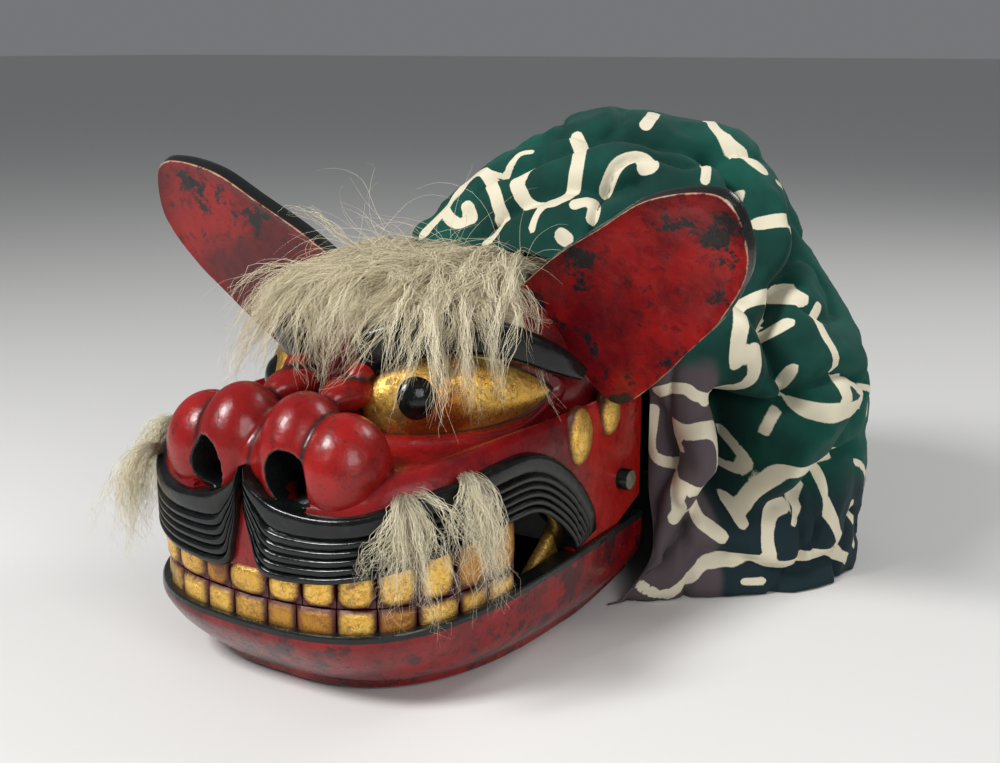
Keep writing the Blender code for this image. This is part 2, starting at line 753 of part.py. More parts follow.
def build_whiskers(parts, material, head_clearance):
    for side, hand in ((1, "left"), (-1, "right")):
        for where, (share, height, length) in WHISKERS.items():
            path, radii = [], []
            for i in range(6):
                t = i / 5
                out = (6 + 22 * math.sin(math.pi * min(t * 1.2, 1) * 0.55)) * ACROSS
                x, y = plan(share - 0.03 * t, WALL_PLAN, out)
                path.append(Vector((x, y, (height - length * t**1.3) * UP)))
                radii.append(((4 + 10 * math.sin(math.pi * (0.12 + 0.8 * t))) * ACROSS, 7 * ALONG))
            bm = tube(path, radii, sides=7, up=Vector((x, y, 0)).normalized())
            bm = bm if side > 0 else mirrored(bm)
            obj = add_object(f"whiskers_{where}_{hand}", bm, parts, material)
            boolean(obj, "DIFFERENCE", head_clearance)


# Body cloth: arches from the head's rear to the hem. Each is y of its feet and of its top, as shares of the
# way back; x of its middle at the feet and at the top, and its half width, as shares of the cloth's half
# width; its height, as a share of the rise above the head; and its squareness.
CLOTH_ARCHES = [
    (-0.07, -0.12, 0.000, 0.000, 0.24, 0.08, 3.0),
    (0.02, -0.03, 0.116, 0.194, 0.41, 0.43, 2.5),
    (0.15, 0.12, 0.272, 0.466, 0.59, 0.80, 2.2),
    (0.29, 0.30, 0.427, 0.699, 0.71, 1.00, 2.2),
    (0.48, 0.51, 0.466, 0.738, 0.73, 0.90, 2.2),
    (0.68, 0.74, 0.447, 0.621, 0.57, 0.33, 2.2),
    (0.85, 0.92, 0.427, 0.583, 0.32, -0.78, 2.3),
    (0.95, 1.00, 0.369, 0.388, -0.15, -2.57, 2.6),
]
HUG_REACH = 0.15
HEM_BELOW = 0.008
BULGE = 0.012


def hug_ring():
    """The cloth's front edge on the near side, from the table up round the head's rear to its crown."""
    rise = CLOTH_THICKNESS + 0.002
    side, rear = HEAD_REAR_HALF_WIDTH + rise, HEAD_REAR_Y + 0.002
    ring = [
        (side - 8 * ACROSS, rear - 48 * ALONG, -HEM_BELOW),
        (side + 11 * ACROSS, rear - 14 * ALONG, 32 * UP),
        (side + ACROSS, rear, 80 * UP),
    ]
    for level in (1, 2, 3, 5, 6, 7, 8, 9):
        x, _, z = skull_point(REAR_SHARE, level, rise)
        ring.append((x, rear - 35 * ALONG * max(level - 5, 0) / 4, z))
    return ring


def cloth_point(around, along):
    """A point of the bundled cloth: around is 0 at one foot and 1 at the other, along runs to the rear."""
    feet, top, foot_x, top_x, half, height, square = smooth(CLOTH_ARCHES, along)
    spread = CLOTH_HALF_WIDTH - HEAD_REAR_HALF_WIDTH
    angle = math.pi * around
    rise = math.sin(angle) ** (2 / square)
    z = (HEAD_HEIGHT + (CLOTH_HEIGHT - HEAD_HEIGHT) * height) * rise - HEM_BELOW * (1 - rise)
    reach = math.copysign(abs(math.cos(angle)) ** (2 / square), math.cos(angle))
    x = (foot_x + (top_x - foot_x) * rise) * spread + (HEAD_REAR_HALF_WIDTH + half * spread) * reach
    if around < 0.5:
        t = z / CLOTH_HEIGHT
        x += BULGE * (math.exp(-(((t - 0.44) / 0.11) ** 2)) - 1.2 * math.exp(-(((t - 0.71) / 0.11) ** 2)))
    y = HEAD_REAR_Y + (CLOTH_REAR_Y - HEAD_REAR_Y) * (feet + (top - feet) * math.sin(angle))
    free = Vector((x, y, z))
    hug = Vector(smooth(HUG, min(around, 1 - around) * 2))
    if around > 0.5:
        hug.x = -hug.x
    t = min(along / HUG_REACH, 1)
    return hug.lerp(free, t * t * (3 - 2 * t))


HUG = hug_ring()


def thicken(bm, thickness):
    """Gives an open sheet an inner skin and joins the two round its edge. The hem stays level on the table."""
    bmesh.ops.recalc_face_normals(bm, faces=bm.faces)
    bm.normal_update()
    outer_faces = list(bm.faces)
    border = [edge.verts[:] for edge in bm.edges if len(edge.link_faces) == 1]
    inner = {}
    for vert in list(bm.verts):
        inward = -vert.normal
        if vert.co.z < thickness / 10:
            inward.z = 0
            inward.normalize()
        inner[vert] = bm.verts.new(vert.co + inward * thickness)
    for face in outer_faces:
        bm.faces.new([inner[vert] for vert in reversed(face.verts)])
    for a, b in border:
        bm.faces.new((a, b, inner[b], inner[a]))


def build_cloth(parts, material):
    """The bundled cloth as a hollow hood, open to the head in front and cut level with the table below."""
    around, along = 28, 15
    rows = [[cloth_point(i / around, j / along) for i in range(around + 1)] for j in range(along + 1)]
    bm = grid_bmesh(rows)
    sheet = bm.verts[:] + bm.edges[:] + bm.faces[:]
    snap = CLOTH_THICKNESS / 4
    bmesh.ops.bisect_plane(
        bm, geom=sheet, dist=snap, use_snap_center=True, plane_co=(0, 0, 0), plane_no=(0, 0, 1), clear_inner=True
    )
    thicken(bm, CLOTH_THICKNESS)
    add_object("body_cloth", bm, parts, material)


def main():
    clear_scene()
    parts = new_collection("lion_dance_mask")
    red, black = lacquer("red_lacquer", RED, 0.3), lacquer("black_lacquer", BLACK, 0.25)
    cotton, hair = lacquer("dyed_cotton", GREEN, 0.9), lacquer("horsehair", HORSEHAIR, 0.6)
    head_clearance, ear_clearance = new_collection("head_clearance"), new_collection("ear_clearance")
    head_volumes(head_clearance, 2.5 * GAP)
    add_cutter("skull_clearance", skull_blank(2 * GAP), head_clearance)
    build_head(parts, red)
    build_jaw(parts, red)
    build_pegs(parts, black)
    build_ears(parts, red, head_clearance, ear_clearance)
    build_forelock(parts, hair, [head_clearance, ear_clearance])
    build_whiskers(parts, hair, head_clearance)
    build_cloth(parts, cotton)


main()
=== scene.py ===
"""Looks of the Japanese lion dance head: the carved and lacquered mask, its ears, jaw and horsehair, and the
printed cotton body cloth bundled up behind it. Metres, +Z up, the lion looks along -Y."""

import json
import math

import bmesh
import bpy
import numpy as np
from mathutils import Matrix, Vector
from mathutils import noise as noise3
from mathutils.bvhtree import BVHTree

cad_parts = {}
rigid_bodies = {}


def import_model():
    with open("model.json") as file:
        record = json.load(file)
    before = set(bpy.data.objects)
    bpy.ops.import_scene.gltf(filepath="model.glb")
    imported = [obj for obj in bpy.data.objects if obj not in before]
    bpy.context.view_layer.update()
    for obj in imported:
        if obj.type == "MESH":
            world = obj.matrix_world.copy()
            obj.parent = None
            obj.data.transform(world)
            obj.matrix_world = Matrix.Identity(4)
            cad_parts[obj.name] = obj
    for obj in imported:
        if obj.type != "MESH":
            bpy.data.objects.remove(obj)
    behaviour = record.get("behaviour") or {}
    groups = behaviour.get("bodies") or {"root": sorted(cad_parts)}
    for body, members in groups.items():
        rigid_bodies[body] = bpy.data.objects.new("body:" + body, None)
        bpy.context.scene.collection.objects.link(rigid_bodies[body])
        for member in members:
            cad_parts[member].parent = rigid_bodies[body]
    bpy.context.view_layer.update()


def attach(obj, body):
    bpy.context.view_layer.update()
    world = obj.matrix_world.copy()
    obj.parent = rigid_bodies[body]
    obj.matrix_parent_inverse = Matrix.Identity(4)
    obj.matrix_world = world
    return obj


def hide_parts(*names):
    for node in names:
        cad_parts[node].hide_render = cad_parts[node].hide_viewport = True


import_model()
rng = np.random.default_rng(7)
HAIR_SEED = 1795832449  # without a seed, noise vectors start from the clock
noise3.seed_set(HAIR_SEED)

# Stage: a pale floor, soft studio light and the camera

bpy.ops.mesh.primitive_plane_add(size=80)
floor = bpy.context.object
floor.name = "floor"
paper = bpy.data.materials.new("floor_paper")
paper.use_nodes = True
shader = paper.node_tree.nodes["Principled BSDF"]
shader.inputs["Base Color"].default_value = (0.74, 0.73, 0.71, 1)
shader.inputs["Roughness"].default_value = 0.85
floor.data.materials.append(paper)

world = bpy.data.worlds.new("studio")
bpy.context.scene.world = world
world.use_nodes = True
world.node_tree.nodes["Background"].inputs["Color"].default_value = (0.80, 0.83, 0.87, 1)
world.node_tree.nodes["Background"].inputs["Strength"].default_value = 0.22

TARGET = Vector((0.02, 0.05, 0.14))
for name, place, size, power in (
    ("key_light", (-0.55, -1.30, 1.55), 0.55, 40),
    ("fill_light", (1.7, -0.9, 1.0), 0.9, 15),
    ("rim_light", (0.9, 1.5, 1.7), 0.8, 16),
):
    lamp = bpy.data.lights.new(name, "AREA")
    lamp.size = size
    lamp.energy = power
    light = bpy.data.objects.new(name, lamp)
    light.location = place
    light.rotation_euler = (TARGET - Vector(place)).to_track_quat("-Z", "Y").to_euler()
    bpy.context.collection.objects.link(light)

azimuth, elevation = math.radians(32.6), math.radians(13.6)
level = math.cos(elevation)
back = Vector((math.sin(azimuth) * level, -math.cos(azimuth) * level, math.sin(elevation)))
right = Vector((math.cos(azimuth), math.sin(azimuth), 0))
up = back.cross(right)
camera = bpy.data.objects.new("camera", bpy.data.cameras.new("camera"))
camera.data.lens = 50.22
camera.matrix_world = Matrix.Translation(back * 1.015 + right * 0.075 + up * 0.168) @ Matrix(
    (right, up, back)
).transposed().to_4x4()
bpy.context.collection.objects.link(camera)
bpy.context.scene.camera = camera
bpy.context.scene.view_settings.view_transform = "Standard"

# Head: one block of wood, hollowed to a 12 mm wall and left open below and at the rear. Red lacquer outside,
# black inside and along the seam, with a lid carved round each eye and a hollow behind each nostril.

# The plan is a squarish arc round the muzzle, then straight sides. The head, lip, teeth and jaw are placed by
# their share of the arc, which is negative on the far side, and by a height.
REAR_Y = 0.137
# An outline is its front y, half width, y of its widest point, squareness and half width at the rear.
WALL = (-0.153, 0.128, 0.034, 3.2, 0.125)
arc_angles = np.linspace(0, np.pi / 2, 401)
arc_x = WALL[1] * np.sin(arc_angles) ** (2 / WALL[3])
arc_y = WALL[2] - (WALL[2] - WALL[0]) * np.maximum(np.cos(arc_angles), 0) ** (2 / WALL[3])
arc_lengths = np.concatenate([[0], np.cumsum(np.hypot(np.diff(arc_x), np.diff(arc_y)))])
ARC = arc_lengths[-1]
REAR_SHARE = 1 + (REAR_Y - WALL[2]) / ARC


def plan(share, outline=WALL, grow=0.0):
    """Plan points (x, y) of an outline. Shares past 1 run along the straight side."""
    share, grow = np.broadcast_arrays(np.asarray(share, float), grow)
    front, half, widest, squareness, rear_half = outline
    size = np.abs(share)
    angle = np.interp(np.minimum(size, 1) * ARC, arc_lengths, arc_angles)
    x = (half + grow) * np.sin(angle) ** (2 / squareness)
    y = widest - (widest - front + grow) * np.maximum(np.cos(angle), 0) ** (2 / squareness)
    past = np.clip((size - 1) / (REAR_SHARE - 1), 0, 1)
    x = np.where(size > 1, half + grow + (rear_half - half) * past, x)
    y = np.where(size > 1, widest + (REAR_Y - widest) * past, y)
    return np.copysign(x, share), y


def smooth_path(points, share):
    """Points on the smooth curve through points[0], points[1] and so on, at shares from 0 to 1."""
    points = np.asarray(points, float)
    place = np.clip(share, 0, 1) * (len(points) - 1)
    i = np.minimum(place.astype(int), len(points) - 2)
    t = (place - i)[..., None]
    if points.ndim == 3:
        across = np.arange(points.shape[1])
        a, b, c, d = (points[np.clip(i + k, 0, len(points) - 1), across] for k in (-1, 0, 1, 2))
    else:
        a, b, c, d = (points[np.clip(i + k, 0, len(points) - 1)] for k in (-1, 0, 1, 2))
    return 0.5 * (2 * b + (c - a) * t + (2 * a - 5 * b + 4 * c - d) * t**2 + (3 * b - a - 3 * c + d) * t**3)


LIP_EDGE = np.array([
    (0, 84), (0.10, 85), (0.29, 90), (0.48, 101), (0.69, 109), (0.78, 109), (0.84, 104),
    (0.89, 95), (0.93, 86), (0.965, 77), (0.985, 70), (1.0, 60),
])  # fmt: skip


def wall_bottom(share):
    """Lower edge of the head's wall: under the lip, over the mouth corner, then along the jaw."""
    size = np.abs(share)
    y = plan(size)[1]
    seam = 0.0625 + np.maximum(y - 0.100, 0) * math.tan(math.radians(19))
    lip = np.where(size <= 1, np.interp(size, LIP_EDGE[:, 0], LIP_EDGE[:, 1]) * 0.001, 0)
    return np.maximum(seam, lip)


# Levels of the skin from the wall up: outline, height at the front and height at the side.
CONTOURS = [
    ((-0.153, 0.128, 0.034, 3.2, 0.125), 0.118, 0.125),
    ((-0.151, 0.127, 0.034, 3.1, 0.125), 0.129, 0.147),
    ((-0.140, 0.121, 0.048, 2.8, 0.123), 0.139, 0.160),
    ((-0.097, 0.113, 0.075, 1.9, 0.121), 0.150, 0.152),
    ((-0.070, 0.116, 0.085, 1.65, 0.119), 0.170, 0.174),
    ((-0.060, 0.111, 0.090, 1.8, 0.109), 0.203, 0.206),
    ((-0.052, 0.090, 0.095, 2.0, 0.089), 0.228, 0.231),
    ((-0.022, 0.055, 0.100, 2.0, 0.055), 0.244, 0.246),
]


def skull(share, level, grow=0.0):
    """Points of the head's skin. Level 0 is the wall's lower edge and 9 the ridge of the crown."""
    share, level, grow = np.broadcast_arrays(np.asarray(share, float), np.asarray(level, float), grow)
    shape = share.shape
    share, level, grow = share.ravel(), level.ravel(), grow.ravel()
    t = np.minimum(np.abs(share) / 0.7, 1)
    t = t * t * (3 - 2 * t)
    x, y = plan(share, WALL, grow)
    rows = [np.stack([x, y, wall_bottom(share)], -1)]
    for outline, front_z, side_z in CONTOURS:
        x, y = plan(share, outline, grow)
        rows.append(np.stack([x, y, front_z + (side_z - front_z) * t + grow * 0.7], -1))
    ridge = np.abs(share) / REAR_SHARE
    rows.append(np.stack([0 * share, REAR_Y * ridge, 0.246 + ridge * 0.004 + grow], -1))
    return smooth_path(np.array(rows), level / 9).reshape(*shape, 3)


def add_node(tree, kind, inputs=(), **settings):
    """A node with its settings, and its inputs set to values or linked to sockets."""
    made = tree.nodes.new(kind)
    for key, value in settings.items():
        setattr(made, key, value)
    for key, value in dict(inputs).items():
        if isinstance(value, bpy.types.NodeSocket):
            tree.links.new(value, made.inputs[key])
        else:
            made.inputs[key].default_value = value
    return made


def ramp(tree, source, low, high):
    """A mask that rises from 0 to 1 as the source goes from low to high."""
    made = add_node(tree, "ShaderNodeMapRange", {"Value": source, "From Min": low, "From Max": high})
    made.interpolation_type = "SMOOTHSTEP"
    return made.outputs[0]


def mix(tree, factor, a, b):
    made = add_node(tree, "ShaderNodeMix", {}, data_type="RGBA")
    for key, value in ((0, factor), (6, a), (7, b)):
        if isinstance(value, bpy.types.NodeSocket):
            tree.links.new(value, made.inputs[key])
        else:
            made.inputs[key].default_value = value
    return made.outputs[2]


def maths(tree, operation, a, b=0.0):
    return add_node(tree, "ShaderNodeMath", {0: a, 1: b}, operation=operation).outputs[0]


def attribute(tree, name):
    return add_node(tree, "ShaderNodeAttribute", attribute_name=name).outputs["Fac"]


def noise(tree, position, scale, detail=4.0, rough=0.6, distortion=0.0):
    made = add_node(
        tree,
        "ShaderNodeTexNoise",
        {"Vector": position, "Scale": scale, "Detail": detail, "Roughness": rough, "Distortion": distortion},
    )
    return made.outputs[0]


def new_material(name):
    made = bpy.data.materials.new(name)
    made.use_nodes = True
    tree = made.node_tree
    place = add_node(tree, "ShaderNodeTexCoord").outputs["Object"]
    return made, tree, tree.nodes["Principled BSDF"], place


def set_bump(tree, shader, height, distance, strength=1.0):
    made = add_node(tree, "ShaderNodeBump", {"Height": height, "Distance": distance, "Strength": strength})
    tree.links.new(made.outputs[0], shader.inputs["Normal"])


def broken_edge_group():
    """The group that all finishes share: a mask along a value, with its border broken up by grain."""
    group = bpy.data.node_groups.new("broken_edge", "ShaderNodeTree")
    for name in ("Value", "Grain", "Spread", "From", "To"):
        group.interface.new_socket(name, in_out="INPUT", socket_type="NodeSocketFloat")
    group.interface.new_socket("Mask", in_out="OUTPUT", socket_type="NodeSocketFloat")
    given = add_node(group, "NodeGroupInput").outputs
    broken = maths(group, "ADD", given["Value"], maths(group, "MULTIPLY", given["Grain"], given["Spread"]))
    add_node(group, "NodeGroupOutput", {"Mask": ramp(group, broken, given["From"], given["To"])})
    return group


BROKEN_EDGE = broken_edge_group()


def broken_edge(tree, value, grain, spread, low, high):
    """A mask that rises from 0 to 1 as the value, moved about by grain, goes from low to high."""
    inputs = {"Value": value, "Grain": grain, "Spread": spread, "From": low, "To": high}
    return add_node(tree, "ShaderNodeGroup", inputs, node_tree=BROKEN_EDGE).outputs["Mask"]


def red_lacquer(name, speckle, dark, patches=0.0):
    """Worn red lacquer: the dark undercoat shows through as speckle and rubbed patches, it is near black in
    the crevices, as a black outline round the eyes and as painted shade in the creases of the nose, and edges
    are rubbed to pale wood. crevice and edge are distances in metres held on the mesh."""
    made, tree, shader, place = new_material(name)
    broad = noise(tree, place, 14, 5, 0.6)
    fine = noise(tree, place, 320, 5, 0.75)
    grain = noise(tree, place, 95, 6, 0.7, 0.6)
    tone = mix(tree, ramp(tree, broad, 0.36, 0.66), (0.085, 0.003, 0.005, 1), (0.27, 0.006, 0.006, 1))
    wall = attribute(tree, "wall")
    tone = mix(tree, maths(tree, "MULTIPLY", wall, 0.75), tone, (0.42, 0.012, 0.008, 1))
    mottled = maths(tree, "MULTIPLY", ramp(tree, grain, 0.52, 0.70), dark)
    tone = mix(tree, mottled, tone, (0.035, 0.003, 0.005, 1))
    patchy = maths(tree, "MAXIMUM", ramp(tree, grain, 0.44, 0.58), maths(tree, "MULTIPLY", wall, 0.8))
    specks = maths(tree, "MULTIPLY", ramp(tree, fine, 0.55, 0.62), patchy)
    tone = mix(tree, maths(tree, "MULTIPLY", specks, speckle), tone, (0.012, 0.006, 0.007, 1))
    # Near black where crevice is small: a black outline round the eyes, and painted shade in the creases of
    # the nose.
    shaded = broken_edge(tree, attribute(tree, "crevice"), grain, 0.003, 0.0065, 0.0020)
    tone = mix(tree, shaded, tone, (0.012, 0.010, 0.009, 1))
    worn = broken_edge(tree, attribute(tree, "edge"), grain, 0.004, 0.0030, 0.0022)
    tone = mix(tree, worn, tone, (0.40, 0.28, 0.18, 1))
    spots = broken_edge(tree, noise(tree, place, 25, 6, 0.7), fine, 0.15, 0.63, 0.68)
    tone = mix(tree, maths(tree, "MULTIPLY", spots, patches), tone, (0.012, 0.009, 0.010, 1))
    within = broken_edge(tree, attribute(tree, "inside"), grain, 0.2, 0.50, 0.68)
    tone = mix(tree, within, tone, (0.008, 0.010, 0.009, 1))
    tree.links.new(tone, shader.inputs["Base Color"])
    rough = maths(tree, "ADD", maths(tree, "MULTIPLY", broad, 0.22), maths(tree, "MULTIPLY", specks, 0.25))
    tree.links.new(maths(tree, "ADD", rough, 0.16), shader.inputs["Roughness"])
    chisel = maths(tree, "MULTIPLY", noise(tree, place, 42, 2, 0.5), 2.2)
    height = maths(tree, "ADD", maths(tree, "MULTIPLY", grain, 0.6), maths(tree, "MULTIPLY", fine, 0.12))
    set_bump(tree, shader, maths(tree, "ADD", height, chisel), 0.0016, 0.5)
    shader.inputs["Specular IOR Level"].default_value = 0.3
    shader.inputs["Coat Weight"].default_value = 0.2
    shader.inputs["Coat Roughness"].default_value = 0.08
    return made


RED = red_lacquer("red_lacquer", 0.75, 0.55)


def grid_faces(rows, columns, wrap=False):
    """Corner numbers of the quads over a grid of points."""
    across = columns if wrap else columns - 1
    i, j = np.meshgrid(np.arange(rows - 1), np.arange(across), indexing="ij")
    k = (j + 1) % columns
    corners = [i * columns + j, i * columns + k, (i + 1) * columns + k, (i + 1) * columns + j]
    return np.stack(corners, -1).reshape(-1, 4)


FAR = 0.02  # metres at which a finish shows no crevice or edge


def set_fields(mesh, **fields):
    """Values on a mesh's points, which the finishes read as attributes."""
    for key, values in fields.items():
        made = mesh.attributes.new(key, "FLOAT", "POINT")
        made.data.foreach_set("value", np.ascontiguousarray(np.ravel(values), np.float32))


def new_piece(name, points, faces, material, **fields):
    """An object from points and faces, with its normals out, smooth shading and values on its points."""
    mesh = bpy.data.meshes.new(name)
    mesh.from_pydata(np.asarray(points).reshape(-1, 3).tolist(), [], [list(map(int, f)) for f in faces])
    set_fields(mesh, **fields)
    bm = bmesh.new()
    bm.from_mesh(mesh)
    bmesh.ops.remove_doubles(bm, verts=bm.verts, dist=1e-6)
    bmesh.ops.recalc_face_normals(bm, faces=bm.faces)
    if bm.calc_volume(signed=True) < 0:
        bmesh.ops.reverse_faces(bm, faces=bm.faces)
    bm.to_mesh(mesh)
    bm.free()
    mesh.shade_smooth()
    mesh.set_sharp_from_angle(angle=math.radians(42))
    obj = bpy.data.objects.new(name, mesh)
    bpy.context.collection.objects.link(obj)
    mesh.materials.append(material)
    return obj


EYE_TURN = math.radians(49)
PUPIL = np.array((0.053, -0.047, 0.179))
along_eye = np.array((math.cos(EYE_TURN), math.sin(EYE_TURN), 0))
out_of_eye = np.array((math.sin(EYE_TURN), -math.cos(EYE_TURN), 0))


EYE_LENGTH = 0.134
EYE_MIDDLE = PUPIL - out_of_eye * 0.0075 - (0, 0, 0.005)


def eye_half_height(a):
    """Half height of the almond at a distance along it from the pupil."""
    u = np.clip((a + 0.034) / EYE_LENGTH, 0, 1)
    return 0.0006 + 0.033 * np.sin(np.pi * np.minimum(u, 0.999) ** 0.70) ** 0.75


def eye_distance(points):
    """Rough distance outside the almond of either eye."""
    p = points * np.where(points[..., :1] < 0, -1, 1) ** np.array([1, 0, 0]) - EYE_MIDDLE
    a, z = p @ along_eye, p[..., 2]
    u = np.clip((a + 0.034) / EYE_LENGTH, 0, 1)
    tall = eye_half_height(a)
    deep = 0.021 * (tall / 0.033) ** 0.8 + 0.001
    across = np.hypot((p @ out_of_eye + 0.009 * u * u) / deep, z / tall)
    ends = np.maximum(np.maximum(-0.034 - a, a - EYE_LENGTH + 0.034), 0)
    return np.hypot(np.maximum((across - 1) * np.minimum(deep, tall), 0), ends)


NOSTRIL = Vector((0.031, -0.144, 0.146))


def nostril_matrix(side):
    return (
        Matrix.Translation((side * NOSTRIL.x, NOSTRIL.y, NOSTRIL.z))
        @ Matrix.Rotation(math.radians(side * 14), 4, "Z")
        @ Matrix.Rotation(math.radians(-side * 12), 4, "Y")
        @ Matrix.Diagonal((0.0142, 0.034, 0.0200, 1))
    )


def nostril_reach(points):
    """1 on the wall of the nearer nostril's bore, less within it."""
    reach = np.full(points.shape[:-1], 9.0)
    for side in (-1, 1):
        into = np.array(nostril_matrix(side).inverted())
        reach = np.minimum(reach, np.linalg.norm(points @ into[:3, :3].T + into[:3, 3], axis=-1))
    return reach


shares = np.linspace(-REAR_SHARE, REAR_SHARE, 281)
levels = np.concatenate([np.linspace(0, 6, 100), np.linspace(6, 9, 24)[1:]])
S, L = np.meshgrid(shares, levels)
outer = skull(S, L)
away = eye_distance(outer)
lid = np.exp(-(((away - 0.0055) / 0.0035) ** 2)) * 0.003 * (L > 2.0) * (L < 5.6)
outer = skull(S, L, lid)
bored = np.clip((1.15 - nostril_reach(outer)) / 0.15, 0, 1)
outer[..., 1] += 0.040 * bored
inner_shares, inner_levels = np.linspace(-REAR_SHARE, REAR_SHARE, 281), np.linspace(0, 9, 40)
SI, LI = np.meshgrid(inner_shares, inner_levels)
inner = skull(SI, LI, -0.012)
inner[0, :, 2] = wall_bottom(inner_shares)
points = np.concatenate([outer.reshape(-1, 3), inner.reshape(-1, 3)])
columns, start = len(shares), outer.shape[0] * len(shares)
faces = np.concatenate([grid_faces(*outer.shape[:2]), grid_faces(*inner.shape[:2]) + start]).tolist()
faces += [[j, j + 1, start + j + 1, start + j] for j in range(columns - 1)]
outer_rear = [np.arange(outer.shape[0]) * columns + side for side in (0, columns - 1)]
inner_rear = [start + np.arange(inner.shape[0]) * columns + side for side in (0, columns - 1)]
for a, b in zip(outer_rear, inner_rear):
    faces.append([*a.tolist(), *b[::-1].tolist()])
hidden = inner.shape[0] * columns
inside = np.concatenate([bored.ravel(), np.ones(hidden)])
crevice = np.concatenate([(eye_distance(outer) * 2.6).ravel(), np.zeros(hidden)])
edge = np.concatenate([(np.abs(outer[..., 1] - REAR_Y) + 0.001).ravel(), np.full(hidden, 0.01)])
behind_mouth = np.clip((np.abs(S) - 1.0) / 0.12, 0, 1) * (L < 3.6)
wall = np.concatenate([behind_mouth.ravel(), np.zeros(hidden)])
head = new_piece("head_shell", points, faces, RED, inside=inside, crevice=crevice, edge=edge, wall=wall)
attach(head, "head")
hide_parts("head")

# Nose: two inner lobes, two wings and the wrinkled lobes behind them, carved round and lacquered red,
# with the nostrils bored deep and blackened. Worn pale along the nostrils' rims, and painted near black as
# shade in the creases between the lobes.

LOBES = np.array([
    (0.025, -0.124, 0.155, 0.027, 0.032, 0.040), (0.055, -0.122, 0.150, 0.029, 0.030, 0.035),
    (0.023, -0.077, 0.184, 0.014, 0.026, 0.012), (0.026, -0.066, 0.197, 0.009, 0.014, 0.006),
])  # fmt: skip


def lobe_distances(points):
    """Signed distance to each lobe's skin, for both sides of the nose."""
    found = []
    for side in (-1, 1):
        for x, y, z, *radii in LOBES:
            k = (points - (side * x, y, z)) / radii
            size = np.linalg.norm(k, axis=-1)
            found.append((size - 1) * min(radii))
    return np.array(found)


bpy.ops.object.select_all(action="DESELECT")
solids = []
for side in (-1, 1):
    for x, y, z, *radii in LOBES:
        bpy.ops.mesh.primitive_uv_sphere_add(segments=48, ring_count=28, radius=1, location=(side * x, y, z))
        bpy.context.object.scale = radii
        solids.append(bpy.context.object)
bpy.ops.mesh.primitive_uv_sphere_add(segments=32, ring_count=16, radius=1, location=(0, -0.105, 0.150))
bpy.context.object.scale = (0.030, 0.044, 0.030)
solids.append(bpy.context.object)
for solid in solids:
    solid.select_set(True)
bpy.context.view_layer.objects.active = solids[0]
bpy.ops.object.join()
bpy.ops.object.transform_apply(location=True, rotation=True, scale=True)
nose = bpy.context.object
nose.name = nose.data.name = "nose"
joined = nose.modifiers.new("one_block", "REMESH")
joined.mode = "VOXEL"
joined.voxel_size = 0.0016
bores = []
for side in (-1, 1):
    bpy.ops.mesh.primitive_uv_sphere_add(segments=40, ring_count=24, radius=1)
    bore = bpy.context.object
    bore.data.transform(nostril_matrix(side))
    cut = nose.modifiers.new("nostril", "BOOLEAN")
    cut.operation, cut.object = "DIFFERENCE", bore
    bores.append(bore)
soften = nose.modifiers.new("one_skin", "REMESH")
soften.mode = "VOXEL"
soften.voxel_size = 0.0013
relax = nose.modifiers.new("rubbed", "SMOOTH")
relax.factor, relax.iterations = 0.6, 10
bpy.ops.object.select_all(action="DESELECT")
nose.select_set(True)
bpy.context.view_layer.objects.active = nose
bpy.ops.object.convert(target="MESH")
for bore in bores:
    bpy.data.objects.remove(bore)
skin = np.empty(len(nose.data.vertices) * 3)
nose.data.vertices.foreach_get("co", skin)
skin = skin.reshape(-1, 3)
# Painted shade: the crevice value is smallest along the creases between lobes, where the red goes near black.
nearest = np.sort(lobe_distances(skin), axis=0)
into = (nostril_reach(skin) - 1) * 0.013
set_fields(
    nose.data,
    crevice=np.minimum(np.abs(nearest[1] - nearest[0]) * 0.9 + 0.001, FAR),
    edge=np.where(into > 0.0003, np.abs(into) * 1.3 + 0.0006, FAR),
    inside=into < 0.0008,
    wall=np.full(len(skin), 0.5),
)
nose.data.materials.clear()
nose.data.materials.append(RED)
nose.data.shade_smooth()
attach(nose, "head")

# Upper lip: a thick band of the same wood in black lacquer, carved into ribs that fan out from the cleft and
# turn down at the cheek, its raised edges rubbed pale.


def tube_grid(rings):
    """Points and faces of closed rings, with a fan at each end."""
    rings = np.asarray(rings)
    count, sides = rings.shape[:2]
    faces = grid_faces(count, sides, wrap=True).tolist()
    faces += [list(range(sides))[::-1], list(range((count - 1) * sides, count * sides))]
    return rings.reshape(-1, 3), faces


def both_sides(piece, name):
    """The mirrored twin of a piece on the lion's right side."""
    twin = bpy.data.objects.new(name, piece.data.copy())
    bm = bmesh.new()
    bm.from_mesh(twin.data)
    bmesh.ops.scale(bm, vec=(-1, 1, 1), verts=bm.verts)
    bmesh.ops.reverse_faces(bm, faces=bm.faces)
    bm.to_mesh(twin.data)
    bm.free()
    bpy.context.collection.objects.link(twin)
    return twin


def black_lacquer(name, gloss=0.06):
    """Deep black lacquer with dust in its grain and pale rubbed edges."""
    made, tree, shader, place = new_material(name)
    broad = noise(tree, place, 22, 5, 0.6)
    grain = noise(tree, place, 120, 5, 0.7, 0.4)
    tone = mix(tree, ramp(tree, grain, 0.45, 0.80), (0.0035, 0.0045, 0.0045, 1), (0.012, 0.016, 0.014, 1))
    worn = broken_edge(tree, attribute(tree, "edge"), grain, 0.0045, 0.0034, 0.0022)
    tone = mix(tree, worn, tone, (0.16, 0.15, 0.11, 1))
    tree.links.new(tone, shader.inputs["Base Color"])
    rough = maths(tree, "ADD", maths(tree, "MULTIPLY", broad, 0.16), gloss)
    tree.links.new(rough, shader.inputs["Roughness"])
    shader.inputs["Specular IOR Level"].default_value = 0.4
    set_bump(tree, shader, grain, 0.0012, 0.3)
    return made


BLACK = black_lacquer("black_lacquer")

